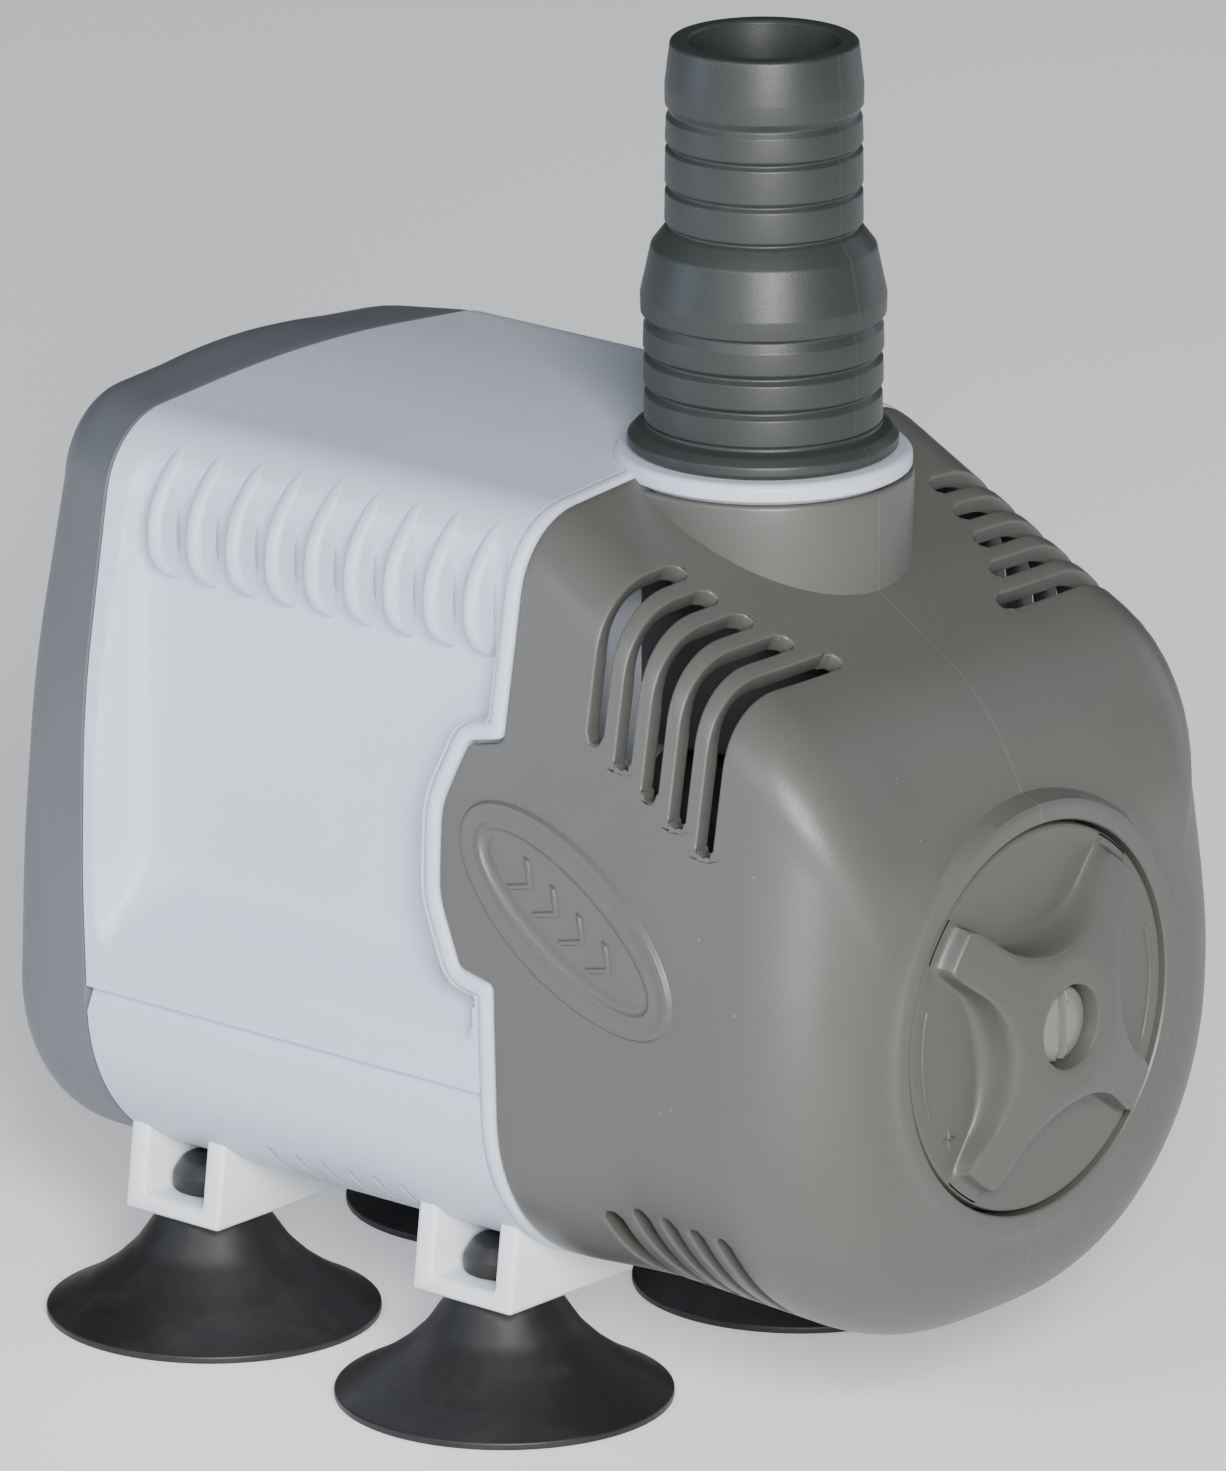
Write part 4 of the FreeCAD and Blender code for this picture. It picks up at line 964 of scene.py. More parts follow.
# ---- motor housing ------------------------------------------------------------------------------
class HousingForm(BodyGrid):
    """The motor housing behind the cover: side recesses, groove, rim and the slits under its corners."""

    def __init__(self):
        self.outline = Outline()
        rim = ear_line(RIM_WIDTH)
        self.rim_z, self.rim_y = rim[::-1, 1], rim[::-1, 0]
        self.columns()

    def level(self, p):
        x, y, z = np.abs(p[..., 0]), p[..., 1], p[..., 2]
        side, _ = self.outline.distance(p[..., 0], z)
        wall_y = np.interp(z, self.rim_z, self.rim_y)
        floor = RECESS_X - x
        rear = (y - RECESS_REAR_Y) - (x - RECESS_X) * 0.30
        low = ((RECESS_LOW_Z - z) - (x - RECESS_X) * 1.244) / 1.6
        front = (wall_y - y) + np.maximum(x - 33.0, 0) * 0.25
        hollow = smooth_max(smooth_max(smooth_max(floor, rear / 1.05, 1.6), low, 1.8), front, 2.2)
        body = smooth_max(side, -hollow, 0.5)
        groove = np.maximum(z - GROOVE_TOP, GROOVE_LOW - z)
        groove = np.maximum(groove, 35.45 + (GROOVE_TOP - z) * 0.42 - x)
        groove = np.maximum(groove, wall_y - y)
        body = np.maximum(body, -groove)
        slit = np.full(body.shape, 9.0)
        for at in SLIT_YS:
            slit = np.minimum(slit, np.abs(y - at) - SLIT_HALF)
        slit = np.maximum(np.maximum(slit, np.abs(x - SLIT_X) - SLIT_REACH), z - 30.0)
        slit = np.maximum(slit, -(side + 1.1))
        return np.maximum(body, -slit)

    def columns(self):
        """Angles of the outline's points on the right half, from the top to the bottom, the ear's columns
        among them.
        """
        fine, z, run = self.walk(6001)

        def angle_at(height):
            flank = (fine > 0.5) & (fine < 2.6)
            return float(np.interp(-height, -z[flank], fine[flank]))

        def even(a, b, gap):
            ra, rb = np.interp([a, b], fine, run)
            steps = max(1, int(round((rb - ra) / gap)))
            return list(np.interp(np.linspace(ra, rb, steps + 1)[:-1], run, fine))

        ear_z = np.linspace(EAR_TOP, EAR_LOW, sum(EAR_COUNTS) + 1)
        half = even(0.0, angle_at(EAR_TOP), 0.9)
        self.ear_first = len(half)
        half += [angle_at(h) for h in ear_z]
        half += even(angle_at(47.4), angle_at(38.4), 0.62)
        marks = (38.2, 38.04, 37.96, 37.5, 37.0, 36.4, 35.9, 35.55, 35.38, 35.30, 35.05)
        half += [angle_at(h) for h in marks]
        half += even(angle_at(34.4), math.pi, 0.8) + [math.pi]
        self.use_half(np.array(half))

    def rays(self, y):
        """Rays from an inner core so that flat walls are met squarely."""
        px, pz = self.outline.point_at(self.angles)
        core_x = np.clip(px, -20.0, 20.0)
        core_z = np.clip(pz, 34.0, 86.0)
        low = pz < 34.0
        core_x = np.where(low, np.clip(px, -16.0, 16.0), core_x)
        flank = (pz >= 34.0) & (pz <= 86.0)
        core_x = np.where(flank, 0.0, core_x)
        way = np.stack([px - core_x, 0 * px, pz - core_z], -1)
        way /= np.linalg.norm(way, axis=-1, keepdims=True)
        base = np.stack([core_x, y + 0 * px, core_z], -1)
        return base, way

    def row(self, y, level, line=None, share=1.0):
        """One row at y, its ear columns pulled towards a (y, z) line by a share."""
        base, way = self.rays(y)
        if line is not None and share > 0:
            for place, (line_y, line_z) in zip(range(self.ear_first, self.ear_first + len(line)), line):
                for column in (place, self.mirrored(place)):
                    base[column, 1] += (line_y - base[column, 1]) * share
                    base[column, 2] += (line_z - base[column, 2]) * share
        return solve(level, base, way)

    def plain(self, inset):
        return lambda p: self.outline.distance(p[..., 0], p[..., 2])[0] + inset


def build_housing(context):
    form = HousingForm()
    rows = []
    lip_y = PARTING_Y - 3.0
    near, far = ear_line(0.3), ear_line(RIM_WIDTH)
    for y, inset in ((PARTING_Y + 0.3, 19.0), (PARTING_Y + 0.3, 11.0), (PARTING_Y + 0.3, 4.6),
                     (lip_y, 4.5), (lip_y, 2.7), (lip_y + 0.3, 2.5)):
        rows.append(form.row(y, form.plain(inset)))
    rows.append(form.row(PARTING_Y + 0.05, form.plain(2.5), near - np.array([0.25, 0.0])))
    rows.append(form.row(PARTING_Y + 0.3, form.plain(2.3), near))
    rows.append(form.row(PARTING_Y + 0.3, form.plain(0.45), near))
    for blend, inset in ((0.08, 0.12), (0.2, -0.06), (0.4, -0.16), (0.6, -0.16), (0.8, -0.06),
                         (0.92, 0.12)):
        line = near + (far - near) * blend
        rows.append(form.row(PARTING_Y + 0.3 + 1.9 * blend, form.plain(inset), line))
    rows.append(form.row(PARTING_Y + 2.2, form.plain(0.45), far))
    after = 14.0
    for depth in (0.02, 0.25, 0.6, 1.1, 1.8, 2.8, 4.2, 6.0, 8.4, 11.0):
        share = 1.0 - (depth / after) ** 1.4
        line = far + np.array([depth, 0.0])
        rows.append(form.row(PARTING_Y + 2.2 + depth, form.level, line, share))
    ys = []
    for at in SLIT_YS:
        ys.extend((at - 0.42, at - 0.31, at + 0.31, at + 0.42, at + 1.86))
    ys.extend(np.arange(25.5, 36.6, 1.6))
    ys.extend((37.0, 37.5, 37.9, 38.3, 38.7, 39.1, 39.5, 39.8, 40.1, 40.4, 40.8, 41.2, 41.5))
    rows.extend(form.row(y, form.level) for y in ys)
    rows.append(form.row(SEAM_Y - 0.25, form.level))
    for level in (lambda p: form.level(p) + 0.28, form.plain(4.5), form.plain(16.0)):
        rows.append(form.row(SEAM_Y - 0.02, level))
    grid = np.array(rows)
    faces = grid_faces(len(grid), form.count)
    faces.append(tuple(range(form.count)))
    faces.append(tuple((len(grid) - 1) * form.count + j for j in range(form.count)))
    piece = new_piece("housing_shell", grid.reshape(-1, 3), faces, get_finish("housing", context), 32)
    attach(piece, "pump")
    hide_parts("motor_housing")
    drum_profile = soft_profile(((24.6, PARTING_Y + 1, 0), (24.6, -30.0, 0.5), (22.0, -30.0, 0.3),
                                 (22.0, -14.0, 1.0), (3.0, -14.0, 0.0), (3.0, PARTING_Y + 4, 0)), 0.3)
    # painted shade: the pump chamber gets the black inner finish so it reads dark through the cover's slots
    drum = turned("pump_chamber", drum_profile, "Y", (0.0, AXIS_Z), get_finish("inner", context), 128)
    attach(drum, "pump")
    ring = soft_profile(((11.0, 90.0, 0.2), (11.0, RING_TOP, 0.35), (15.5, RING_TOP, 0.75),
                         (15.5, RING_TOP - 1.9, 0.35), (14.2, RING_TOP - 1.9, 0.2), (14.2, 71.6, 0.3),
                         (7.85, 71.6, 0.2), (7.85, 90.0, 0.3)), 0.2)
    port = turned("outlet_port", ring, "Z", (0.0, OUTLET_Y), get_finish("port", context), 144)
    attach(port, "pump")


RIB_EDGE = np.array([(27.3, 98.3), (28.7, 97.6), (30.6, 96.2), (32.5, 94.1), (33.85, 91.9), (34.4, 89.7),
                     (34.4, 87.7), (34.15, 86.2), (33.6, 85.2), (32.8, 84.2), (32.0, 83.6), (30.7, 83.0)])


def build_ribs(context):
    """Crescent gill ribs over each recess, one rib repeated by Geometry Nodes."""
    sizes = shape(context)
    pitch, count = mm(sizes.rib_pitch), sizes.rib_count
    steps = 26
    share = np.linspace(0, 1, steps)
    run = np.concatenate([[0], np.cumsum(np.linalg.norm(np.diff(RIB_EDGE, axis=0), axis=1))])
    x = np.interp(share * run[-1], run, RIB_EDGE[:, 0])
    z = np.interp(share * run[-1], run, RIB_EDGE[:, 1])
    x[1:-1] = (x[:-2] + 2 * x[1:-1] + x[2:]) / 4
    z[1:-1] = (z[:-2] + 2 * z[1:-1] + z[2:]) / 4
    tip = np.clip(np.minimum(share / 0.22, (1 - share) / 0.10), 0, 1) ** 0.6
    section = [(-1.0, -3.0), (-1.0, -1.0), (-0.98, -0.55), (-0.78, -0.2), (-0.42, -0.03), (0.0, 0.0),
               (0.42, -0.03), (0.78, -0.2), (0.98, -0.55), (1.0, -1.0), (1.0, -3.0)]
    for side, label in ((-1.0, "left"), (1.0, "right")):
        points = []
        for k in range(steps):
            half = 0.95 * (0.30 + 0.70 * tip[k])
            for across, depth in section:
                points.append((side * (x[k] + depth * (0.7 + 0.3 * tip[k])), across * half, z[k]))
        size = len(section)
        faces = grid_faces(steps, size)
        faces += [tuple(range(size)), tuple((steps - 1) * size + j for j in range(size))]
        piece = new_piece("gill_ribs_" + label, points, faces, get_finish("housing", context), 60)
        repeat_along(piece, count, Vector((0, RIB_FIRST, 0)) * MM, Vector((0, pitch, 0)) * MM,
                     get_finish("housing", context), 60)
        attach(piece, "pump")


def build_brackets(context):
    """Box brackets under the body, open outwards, that hold the suction cups' necks."""
    for row, y in zip(("front", "rear"), FOOT_YS):
        for side, label in ((-1.0, "left"), (1.0, "right")):
            rear = y + 6.9 if y + 6.9 < SEAM_Y else SEAM_Y
            piece = block("foot_bracket_" + row + "_" + label, 11.0, 31.0, y - 6.9, rear, 11.8, 24.0, side,
                          get_finish("bracket", context), lean=-1.6)
            hollow = block("bracket_hollow", 13.6, 40.0, y - 4.3, min(y + 4.3, rear - 2.6), 13.8, 30.0, side,
                           get_finish("bracket", context))
            combine(piece, hollow, "DIFFERENCE")
            neck = turned("bracket_hole", ((0.01, 5.0), (3.35, 5.0), (3.35, 20.0), (0.01, 20.0)), "Z",
                          (side * FOOT_X, y), get_finish("bracket", context), 48)
            combine(piece, neck, "DIFFERENCE")
            round_edges(piece, 0.55, 3, 30.0)
            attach(piece, "pump")


def block(name, x0, x1, y0, y1, z0, z1, side, material, lean=0.0):
    """Box whose outer wall leans by a distance from its bottom to its top."""
    corners = [(x0, y0, z0), (x1, y0, z0), (x1, y1, z0), (x0, y1, z0),
               (x0, y0, z1), (x1 + lean, y0, z1), (x1 + lean, y1, z1), (x0, y1, z1)]
    points = [(side * x, y, z) for x, y, z in corners]
    faces = [(0, 1, 2, 3), (4, 5, 6, 7), (0, 1, 5, 4), (1, 2, 6, 5), (2, 3, 7, 6), (3, 0, 4, 7)]
    return new_piece(name, points, faces, material)


# ---- rear cap and gland -------------------------------------------------------------------------
def build_rear_cap(context):
    form = HousingForm()
    rounding = mm(shape(context).rear_rounding)
    draw = mm(shape(context).rear_draw)

    def side_of(inset):
        def distance(p):
            share = np.clip((p[..., 1] - SEAM_Y) / (REAR_Y - SEAM_Y), 0, 1)
            pull = draw * share * (1 + 0.79 * (p[..., 2] - 60.0) / 40.0)
            x = p[..., 0] * (1 + pull / np.maximum(np.abs(p[..., 0]), 12.0))
            return form.outline.distance(x, p[..., 2])[0] + inset
        return distance

    level = lambda p: round_and(side_of(0.0)(p), p[..., 1] - REAR_Y, rounding)
    angles = form.angles
    rows = []
    for inset in (14.0, 2.6, 0.5):
        rows.append(form.row(SEAM_Y + 0.02, form.plain(inset)))
    rows.append(form.row(SEAM_Y + 0.28, form.plain(0.12)))
    for y in (SEAM_Y + 0.6, 43.4, 44.6, 45.8, 47.4, REAR_Y - rounding):
        rows.append(form.row(y, side_of(0.05 if y < 43 else 0.0)))
    edge = rows[-1]
    _, way = form.rays(REAR_Y - rounding)
    core = edge - way * rounding
    for turn in np.linspace(0, math.pi / 2, 13)[1:]:
        direction = way * math.cos(turn) + np.array([0, 1.0, 0]) * math.sin(turn)
        rows.append(solve(level, core, direction, 0.0, 30.0))
    last = rows[-1]
    middle = np.array([0.0, REAR_Y, 55.0])
    for share in (0.25, 0.55, 0.85):
        rows.append(last + (middle - last) * share)
    grid = np.array(rows)
    faces = grid_faces(len(grid), len(angles))
    faces.append(tuple(range(len(angles))))
    faces.append(tuple((len(grid) - 1) * len(angles) + j for j in range(len(angles))))
    piece = new_piece("rear_cap_shell", grid.reshape(-1, 3), faces, get_finish("cap", context), 35)
    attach(piece, "pump")
    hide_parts("rear_cap")
    collar = soft_profile(((3.6, REAR_Y - 3.5, 0), (3.6, REAR_Y + 4.1, 0.5), (7.4, REAR_Y + 4.1, 1.3),
                           (7.4, REAR_Y + 0.9, 0.2), (7.0, REAR_Y + 0.6, 0.15), (7.0, REAR_Y - 1.0, 0)), 0.2)
    gland = turned("gland_collar", collar, "Y", (0.0, GLAND_Z), get_finish("gland", context), 96)
    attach(gland, "pump")
    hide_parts("cable_gland")


# ---- hose tail, cups ----------------------------------------------------------------------------
HOSE_TAIL = ((7.8, 91.0, 0), (10.95, 91.0, 0), (10.95, 101.15, 0.1), (13.6, 101.15, 0.35),
             (14.1, 101.6, 0.4), (14.1, 102.5, 0.45), (13.3, 103.35, 0.8), (11.9, 103.9, 0.35),
             (12.4, 104.25, 0.35), (12.35, 107.0, 0.3), (11.75, 107.7, 0.25), (12.45, 108.15, 0.35),
             (12.42, 110.7, 0.3), (11.8, 111.35, 0.25), (12.5, 111.85, 0.35), (12.45, 114.2, 0.35),
             (11.85, 115.35, 0.3), (12.75, 115.6, 0.2), (12.8, 117.6, 0.8), (11.7, 122.7, 0.9),
             (10.3, 124.55, 0.6), (9.8, 124.95, 0.2), (10.3, 125.3, 0.3), (10.25, 128.5, 0.3),
             (9.8, 129.0, 0.2), (10.27, 129.45, 0.3), (10.22, 132.9, 0.3), (9.75, 133.4, 0.2),
             (10.25, 133.85, 0.3), (10.15, 136.3, 0.3), (9.75, 136.95, 0.3), (10.28, 137.8, 0.3),
             (10.3, 139.8, 0.9), (9.75, 144.4, 0.45), (8.05, 144.4, 0.25), (7.8, 144.1, 0.1))


def build_hose_tail(context):
    piece = turned("hose_tail_body", soft_profile(HOSE_TAIL, 0.16), "Z", (0.0, OUTLET_Y),
                   get_finish("hose_tail", context), 144, smooth_deg=50)
    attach(piece, "pump")
    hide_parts("hose_tail")


CUP = ((0.3, 3.2, 0), (6.0, 3.0, 3.0), (12.0, 1.8, 5.0), (16.9, 0.0, 0.2), (17.9, 0.0, 0.15),
       (17.9, 0.75, 0.3), (16.7, 1.35, 1.0), (14.0, 2.85, 6.0), (11.0, 5.0, 10.0), (8.4, 7.5, 8.0),
       (6.3, 10.6, 2.0), (5.6, 11.75, 0.2), (3.25, 11.78, 0.1), (3.25, 13.85, 0.1), (4.3, 13.85, 0.3),
       (4.25, 15.6, 1.0), (3.2, 17.2, 0.8), (0.3, 17.8, 0))


def build_cups(context):
    profile = rounded_path(CUP, False, 0.3)
    for row, y in zip(("front", "rear"), FOOT_YS):
        for side, label in ((-1.0, "left"), (1.0, "right")):
            piece = turned("cup_" + row + "_" + label, profile, "Z", (side * FOOT_X, y),
                           get_finish("cups", context), 112, closed=False, smooth_deg=45)
            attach(piece, "pump")
            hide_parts("suction_cup_" + row + "_" + label)


# ---- flow dial ----------------------------------------------------------------------------------
def star_radius(angle):
    """Radius of the four-armed star's outline at an angle clockwise from the top."""
    first = math.radians(37.0)
    local = (angle - first + math.pi / 4) % (math.pi / 2) - math.pi / 4
    tip, half, waist = 18.4, 2.9, 8.6
    corner = np.array([tip - 1.2, half])
    other = np.array([half, tip - 1.2])
    mid = waist * np.array([math.cos(math.pi / 4), math.sin(math.pi / 4)])
    chord = other - corner
    sag = np.linalg.norm((corner + other) / 2 - mid)
    radius = (np.linalg.norm(chord) ** 2 / 4 + sag ** 2) / (2 * sag)
    centre = mid + radius * np.array([math.cos(math.pi / 4), math.sin(math.pi / 4)])
    t = np.abs(local)
    ux, uy = np.cos(t), np.sin(t)
    along = ux * centre[0] + uy * centre[1]
    inside = np.maximum(along ** 2 - (centre @ centre - radius ** 2), 0)
    hollow = along - np.sqrt(inside)
    end = np.minimum(tip / np.maximum(ux, 0.1) * (1 - 0.35 * t ** 2), tip + 0.1)
    limit = math.atan2(half, tip - 1.2)
    return np.where(t > limit, hollow, end)


def build_dial(context):
    height = mm(shape(context).hub_height)
    steps = 360
    angle = np.linspace(0, 2 * math.pi, steps, endpoint=False)
    star = star_radius(angle)
    blurred = np.zeros(steps)
    for shift, weight in zip(range(-2, 3), (0.1, 0.22, 0.36, 0.22, 0.1)):
        blurred += np.roll(star, shift) * weight
    star = blurred                     # softens the corners where arms and hollows meet

    def plateau(r):
        return np.minimum(height, (32.4 - r) * 0.2222 - 0.6)

    def ring(r, rise):
        return np.stack([r * np.sin(angle), FRONT_Y - rise + 0 * angle, AXIS_Z + r * np.cos(angle)], -1)

    hub, base = 6.3, 0.3
    rows = [ring(r, rise) for r, rise in ((3.2, -8.0), (4.0, -8.0), (4.0, -3.2), (14.0, -3.2), (20.2, -3.2),
                                          (20.5, -2.9), (20.5, -0.15), (20.36, 0.16), (20.1, 0.3))]
    outside = np.maximum(star + 1.9, 19.2)
    for share in (0.0, 0.25, 0.5, 0.75):
        rows.append(ring(20.0 + (outside - 20.0) * share * 0.9, base))
    for out, level in ((1.9, 0.0), (1.5, 0.02), (1.1, 0.07), (0.8, 0.16), (0.55, 0.3), (0.36, 0.5),
                       (0.2, 0.72), (0.06, 0.9), (-0.12, 0.97), (-0.4, 1.0)):
        r = np.minimum(star + out, 20.05)
        rows.append(ring(r, base + (plateau(np.minimum(star, 18.4)) - base) * level))
    inner = star - 0.4
    for share in (0.12, 0.3, 0.5, 0.7, 0.88):
        r = inner + (hub + 0.2 - inner) * share
        rows.append(ring(r, plateau(r)))
    rows += [ring(r, rise) for r, rise in ((hub, height), (5.6, height), (4.85, height - 0.02),
                                           (4.55, height - 0.14), (4.4, height - 0.42), (4.4, 2.5),
                                           (4.4, 0.8), (3.2, 0.8))]
    grid = np.array(rows)
    faces = grid_faces(len(grid), steps, closed_rows=True)
    piece = new_piece("dial_knob", grid.reshape(-1, 3), faces, get_finish("dial", context), 34)
    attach(piece, "dial")
    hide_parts("flow_dial")
    build_dial_marks(context)
    build_dial_screw(context)


def raised_bar(name, ring_points, half_width, rise, material):
    """Thin rounded bar that follows points on the dial's face."""
    points, faces = [], []
    ring_points = np.asarray(ring_points, float)
    ways = np.gradient(ring_points, axis=0)
    ways /= np.linalg.norm(ways, axis=1, keepdims=True)
    section = ((-1.0, -0.4), (-0.8, 0.55), (-0.3, 1.0), (0.3, 1.0), (0.8, 0.55), (1.0, -0.4))
    count = len(ring_points)
    for index, ((x, z), way) in enumerate(zip(ring_points, ways)):
        taper = 0.45 if index in (0, count - 1) else 1.0
        for across, up in section:
            lift = up * rise * (taper if up > 0 else 1)
            points.append((x - way[1] * across * half_width * taper, FRONT_Y - 0.3 - lift,
                           z + way[0] * across * half_width * taper))
    size = len(section)
    faces = grid_faces(count, size)
    faces += [tuple(range(size)), tuple((count - 1) * size + j for j in range(size))]
    return new_piece(name, points, faces, material, 60)


def build_dial_marks(context):
    """Raised arcs on both sides of the star with a plus and a minus at their ends."""
    material = get_finish("dial", context)

    def arc(start, end, radius=18.55):
        turns = np.radians(np.linspace(start, end, 30))
        return [(radius * math.sin(t), AXIS_Z + radius * math.cos(t)) for t in turns]

    def stroke(centre_deg, dx, dz, radius=17.2):
        turn = math.radians(centre_deg)
        x, z = radius * math.sin(turn), AXIS_Z + radius * math.cos(turn)
        return [(x + dx * s, z + dz * s) for s in (-1.0, -0.6, 0.0, 0.6, 1.0)]

    marks = {
        "dial_arc_left": arc(246, 286), "dial_arc_right": arc(72, 112),
        "dial_plus_bar": stroke(236, 1.1, 0.0), "dial_plus_post": stroke(236, 0.0, 1.1),
        "dial_minus_bar": stroke(121, 1.1, 0.0),
    }
    for name, path in marks.items():
        piece = raised_bar(name, path, 0.26, 0.22, material)
        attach(piece, "dial")


def build_dial_screw(context):
    top = FRONT_Y - mm(shape(context).hub_height) + 1.1
    profile = rounded_path(((0.25, top, 0), (2.6, top + 0.1, 4.0), (4.15, top + 0.6, 0.7),
                            (4.2, FRONT_Y - 0.85, 0.1), (0.25, FRONT_Y - 0.85, 0)), False, 0.2)
    head = turned("screw_head", profile, "Y", (0.0, AXIS_Z), get_finish("screw", context), 72, closed=False)
    slot_cut = block("screw_slot", -0.6, 0.6, top - 2, top + 1.4, AXIS_Z - 6, AXIS_Z + 6, 1.0,
                     get_finish("screw", context))
    combine(head, slot_cut, "DIFFERENCE")
    round_edges(head, 0.12, 2, 40.0)
    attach(head, "dial")
    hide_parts("dial_screw")


# ---- parts of the frame that stay ---------------------------------------------------------------
INNER_FINISHES = {
    "flow_shutter": "inner", "dial_o_ring": "seals", "stator_core": "steel", "coil_bobbins": "inner",
    "coil_windings": "copper", "potting_resin": "resin", "terminal_block": "inner", "volute_cover": "inner",
    "chamber_o_ring": "seals", "rotor_shaft": "ceramic", "rear_bush": "seals", "front_bush": "seals",
    "rotor_sleeve": "inner", "rotor_magnet": "ferrite", "impeller": "inner", "outlet_o_ring": "seals",
    "gland_seal": "seals", "front_thrust_washer": "ceramic", "rear_thrust_washer": "ceramic",
}


def dress_inner_parts(context):
    for node, key in INNER_FINISHES.items():
        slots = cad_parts[node].material_slots
        if not slots:
            raise RuntimeError("no material slot on " + node)
        for entry in slots:
            entry.material = get_finish(key, context)


# ---- stage --------------------------------------------------------------------------------------
# name, azimuth, elevation, width, height, distance, power and tint
LIGHTS = (
    ("key", 222.0, 21.0, 0.42, 0.62, 1.35, 34.0, (1.0, 0.99, 0.97)),
    ("left", 268.0, 30.0, 0.5, 0.5, 1.3, 5.5, (0.86, 0.92, 1.0)),
    ("rim_left", 310.0, 10.0, 0.3, 0.8, 1.3, 5.0, (0.62, 0.74, 1.0)),
    ("rim_right", 105.0, 12.0, 0.25, 0.8, 1.3, 2.0, (0.78, 0.86, 1.0)),
)
FRAME_WIDTH, FRAME_HEIGHT = 1226, 1471
SENSOR_HEIGHT = 36.0
CAMERA_AIM, CAMERA_DISTANCE = (-0.6, -0.6, 65.72), 1.540
CAMERA_AZIMUTH, CAMERA_ELEVATION = 49.30, 17.10
FOCAL_LENGTH = 14660             # in the units of FRAME_HEIGHT


def build_stage(context):
    """Pale floor, soft lights and the camera."""
    steps, radii = 96, (0.02, 0.3, 1.0, 2.2, 3.6)
    points = [(0.0, 0.0, 0.0)]
    for radius in radii:
        points += [(radius / MM * math.cos(t), radius / MM * math.sin(t), 0.0)
                   for t in np.linspace(0, 2 * math.pi, steps, endpoint=False)]
    faces = [(0, 1 + j, 1 + (j + 1) % steps) for j in range(steps)]
    for i in range(len(radii) - 1):
        a, b = 1 + i * steps, 1 + (i + 1) * steps
        faces += [(a + j, b + j, b + (j + 1) % steps, a + (j + 1) % steps) for j in range(steps)]
    paper = Finish("studio_floor")
    cloud = paper.noise(0.004, 3.0)
    paper.set(Base_Color=paper.mix(cloud, (0.86, 0.86, 0.86), (0.90, 0.90, 0.90)),
              Roughness=cloud * 0.1 + 0.8,
              Emission_Color=(0.97, 0.98, 1.0), Emission_Strength=0.32)
    floor = new_piece("studio_floor", points, faces, paper.material)
    for polygon in floor.data.polygons:
        if polygon.normal.z < 0:
            polygon.flip()
    world = bpy.data.worlds.new("studio")
    world.use_nodes = True
    background = next(n for n in world.node_tree.nodes if n.type == "BACKGROUND")
    background.inputs["Color"].default_value = (0.93, 0.95, 1.0, 1.0)
    background.inputs["Strength"].default_value = 0.10
    context.scene.world = world
    aim = Vector((0.0, 0.0, 0.06))
    for name, azimuth, elevation, width, height, distance, power, tint in LIGHTS:
        lamp = bpy.data.lights.new("light_" + name, "AREA")
        lamp.shape = "RECTANGLE"
        lamp.size, lamp.size_y = width, height
        lamp.energy = power
        lamp.color = tint
        holder = bpy.data.objects.new("light_" + name, lamp)
        context.scene.collection.objects.link(holder)
        a, e = math.radians(azimuth), math.radians(elevation)
        way = Vector((math.sin(a) * math.cos(e), math.cos(a) * math.cos(e), math.sin(e)))
        holder.location = aim + way * distance
        holder.rotation_euler = way.to_track_quat("Z", "Y").to_euler()
    place_camera(context)


def place_camera(context):
    azimuth, elevation = math.radians(CAMERA_AZIMUTH), math.radians(CAMERA_ELEVATION)
    way = Vector((-math.sin(azimuth) * math.cos(elevation), -math.cos(azimuth) * math.cos(elevation),
                  math.sin(elevation)))
    camera = bpy.data.cameras.new("camera")
    camera.sensor_fit = "VERTICAL"
    camera.sensor_height = SENSOR_HEIGHT
    camera.sensor_width = SENSOR_HEIGHT * FRAME_WIDTH / FRAME_HEIGHT
    camera.lens = SENSOR_HEIGHT * FOCAL_LENGTH / FRAME_HEIGHT
    camera.clip_start, camera.clip_end = 0.05, 20.0
    holder = bpy.data.objects.new("camera", camera)
    context.scene.collection.objects.link(holder)
    holder.location = Vector(CAMERA_AIM) * MM + way * CAMERA_DISTANCE
    holder.rotation_euler = way.to_track_quat("Z", "Y").to_euler()
    context.scene.camera = holder


# ---- operators, panel and registration ----------------------------------------------------------
class PumpBuild:
    """Shared settings of the build operators."""
    bl_options = {"REGISTER", "UNDO"}

    def execute(self, context):
        self.build(context)
        return {"FINISHED"}


class PUMP_OT_cover(PumpBuild, bpy.types.Operator):
    """Builds the slotted strainer cover with its collar and oval badges"""
    bl_idname = "pump.cover"
    bl_label = "Strainer cover"
    build = staticmethod(build_cover)


class PUMP_OT_housing(PumpBuild, bpy.types.Operator):
    """Builds the motor housing with its recesses, pump chamber and outlet port"""
    bl_idname = "pump.housing"
    bl_label = "Motor housing"
    build = staticmethod(build_housing)


class PUMP_OT_ribs(PumpBuild, bpy.types.Operator):
    """Builds the rows of gill ribs on both sides of the housing"""
    bl_idname = "pump.ribs"
    bl_label = "Gill ribs"
    build = staticmethod(build_ribs)


class PUMP_OT_brackets(PumpBuild, bpy.types.Operator):
    """Builds the four brackets of the feet"""
    bl_idname = "pump.brackets"
    bl_label = "Foot brackets"
    build = staticmethod(build_brackets)


class PUMP_OT_rear_cap(PumpBuild, bpy.types.Operator):
    """Builds the rear cap and the cable gland"""
    bl_idname = "pump.rear_cap"
    bl_label = "Rear cap"
    build = staticmethod(build_rear_cap)


class PUMP_OT_hose_tail(PumpBuild, bpy.types.Operator):
    """Builds the stepped hose tail"""
    bl_idname = "pump.hose_tail"
    bl_label = "Hose tail"
    build = staticmethod(build_hose_tail)


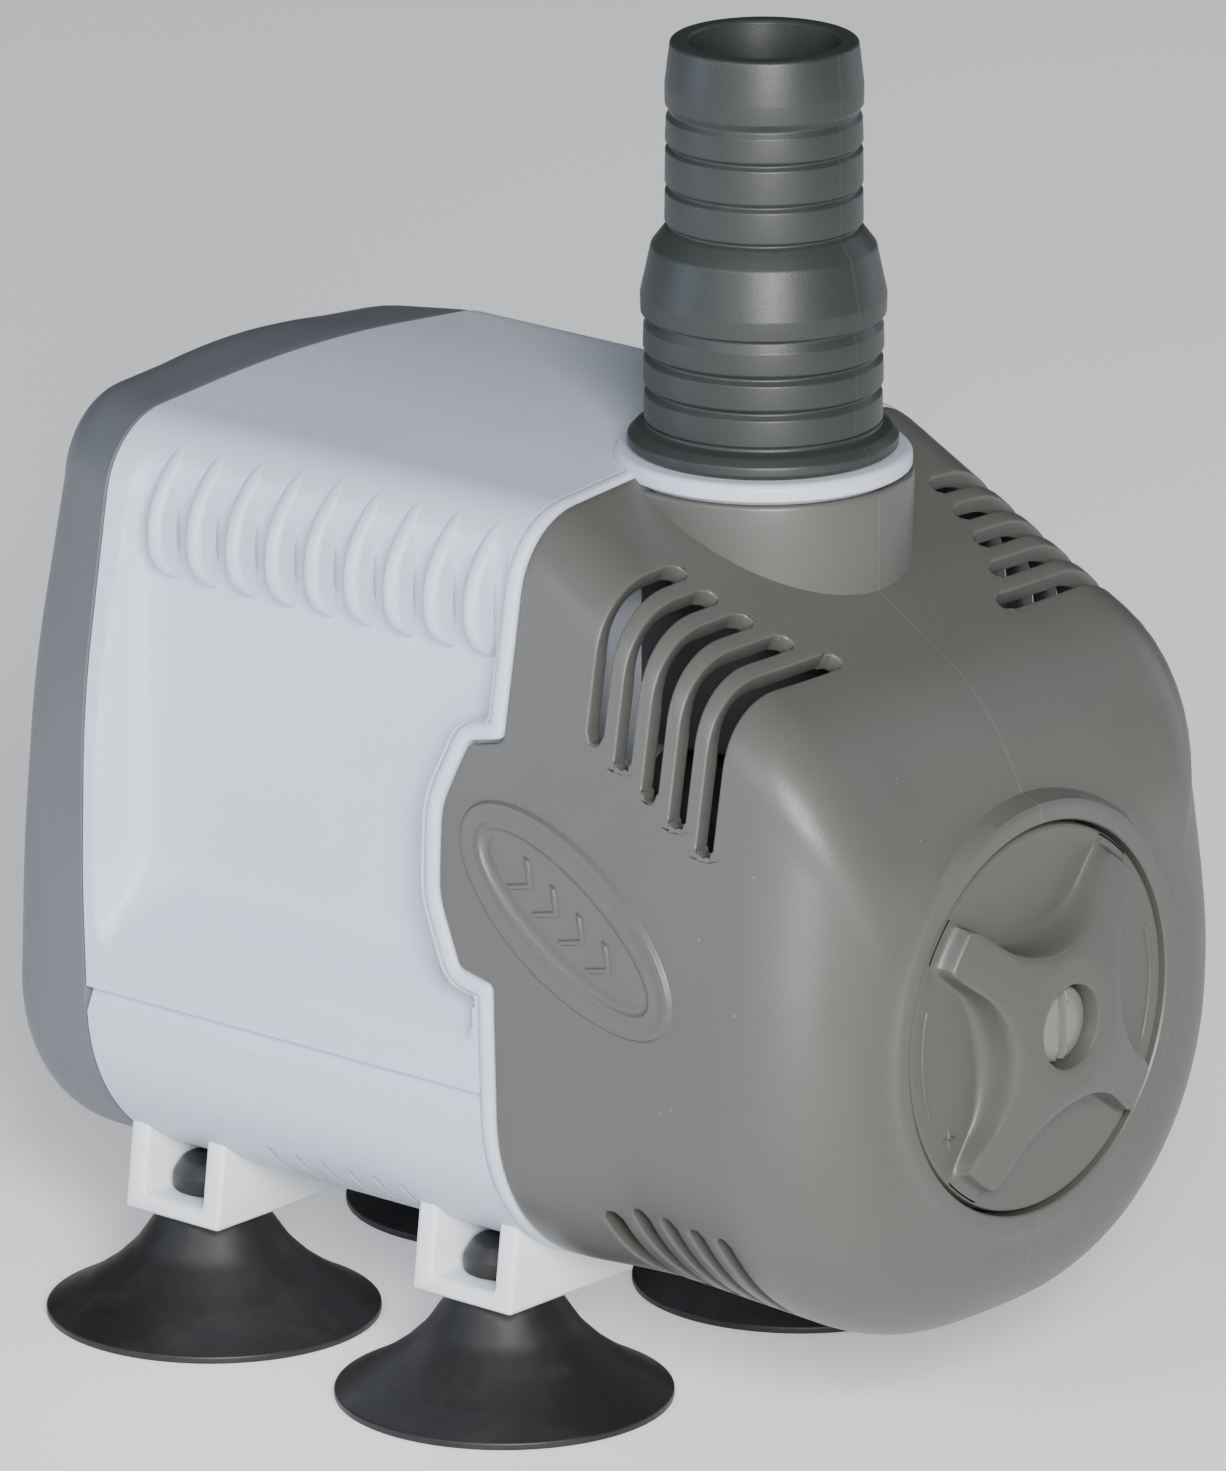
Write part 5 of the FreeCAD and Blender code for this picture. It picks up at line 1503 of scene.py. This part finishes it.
class PUMP_OT_cups(PumpBuild, bpy.types.Operator):
    """Builds the four suction cups"""
    bl_idname = "pump.cups"
    bl_label = "Suction cups"
    build = staticmethod(build_cups)


class PUMP_OT_dial(PumpBuild, bpy.types.Operator):
    """Builds the flow dial with its star grip, marks and screw"""
    bl_idname = "pump.dial"
    bl_label = "Flow dial"
    build = staticmethod(build_dial)


class PUMP_OT_inner_parts(PumpBuild, bpy.types.Operator):
    """Gives the motor, rotor, impeller and seals their finishes"""
    bl_idname = "pump.inner_parts"
    bl_label = "Inner parts"
    build = staticmethod(dress_inner_parts)


class PUMP_OT_stage(PumpBuild, bpy.types.Operator):
    """Builds the pale floor, the soft lights and the camera"""
    bl_idname = "pump.stage"
    bl_label = "Stage"
    build = staticmethod(build_stage)


OPERATORS = (PUMP_OT_stage, PUMP_OT_cover, PUMP_OT_housing, PUMP_OT_ribs, PUMP_OT_brackets, PUMP_OT_rear_cap,
             PUMP_OT_hose_tail, PUMP_OT_cups, PUMP_OT_dial, PUMP_OT_inner_parts)


class PUMP_PT_builder(bpy.types.Panel):
    """Sizes, colours and build buttons of the pump"""
    bl_idname = "PUMP_PT_builder"
    bl_label = "Circulation pump"
    bl_space_type = "VIEW_3D"
    bl_region_type = "UI"
    bl_category = "Pump"

    def draw(self, context):
        for group in (context.scene.pump_shape, context.scene.pump_finish):
            for key in group.__annotations__:
                self.layout.prop(group, key)
        for operator in OPERATORS:
            self.layout.operator(operator.bl_idname)


CLASSES = (PumpShape, PumpFinish, *OPERATORS, PUMP_PT_builder)


def register():
    for cls in CLASSES:
        bpy.utils.register_class(cls)
    bpy.types.Scene.pump_shape = bpy.props.PointerProperty(type=PumpShape)
    bpy.types.Scene.pump_finish = bpy.props.PointerProperty(type=PumpFinish)


def unregister():
    del bpy.types.Scene.pump_finish
    del bpy.types.Scene.pump_shape
    for cls in reversed(CLASSES):
        bpy.utils.unregister_class(cls)


def main():
    register()
    for operator in OPERATORS:
        group, name = operator.bl_idname.split(".")
        getattr(getattr(bpy.ops, group), name)()


if __name__ == "__main__":
    main()
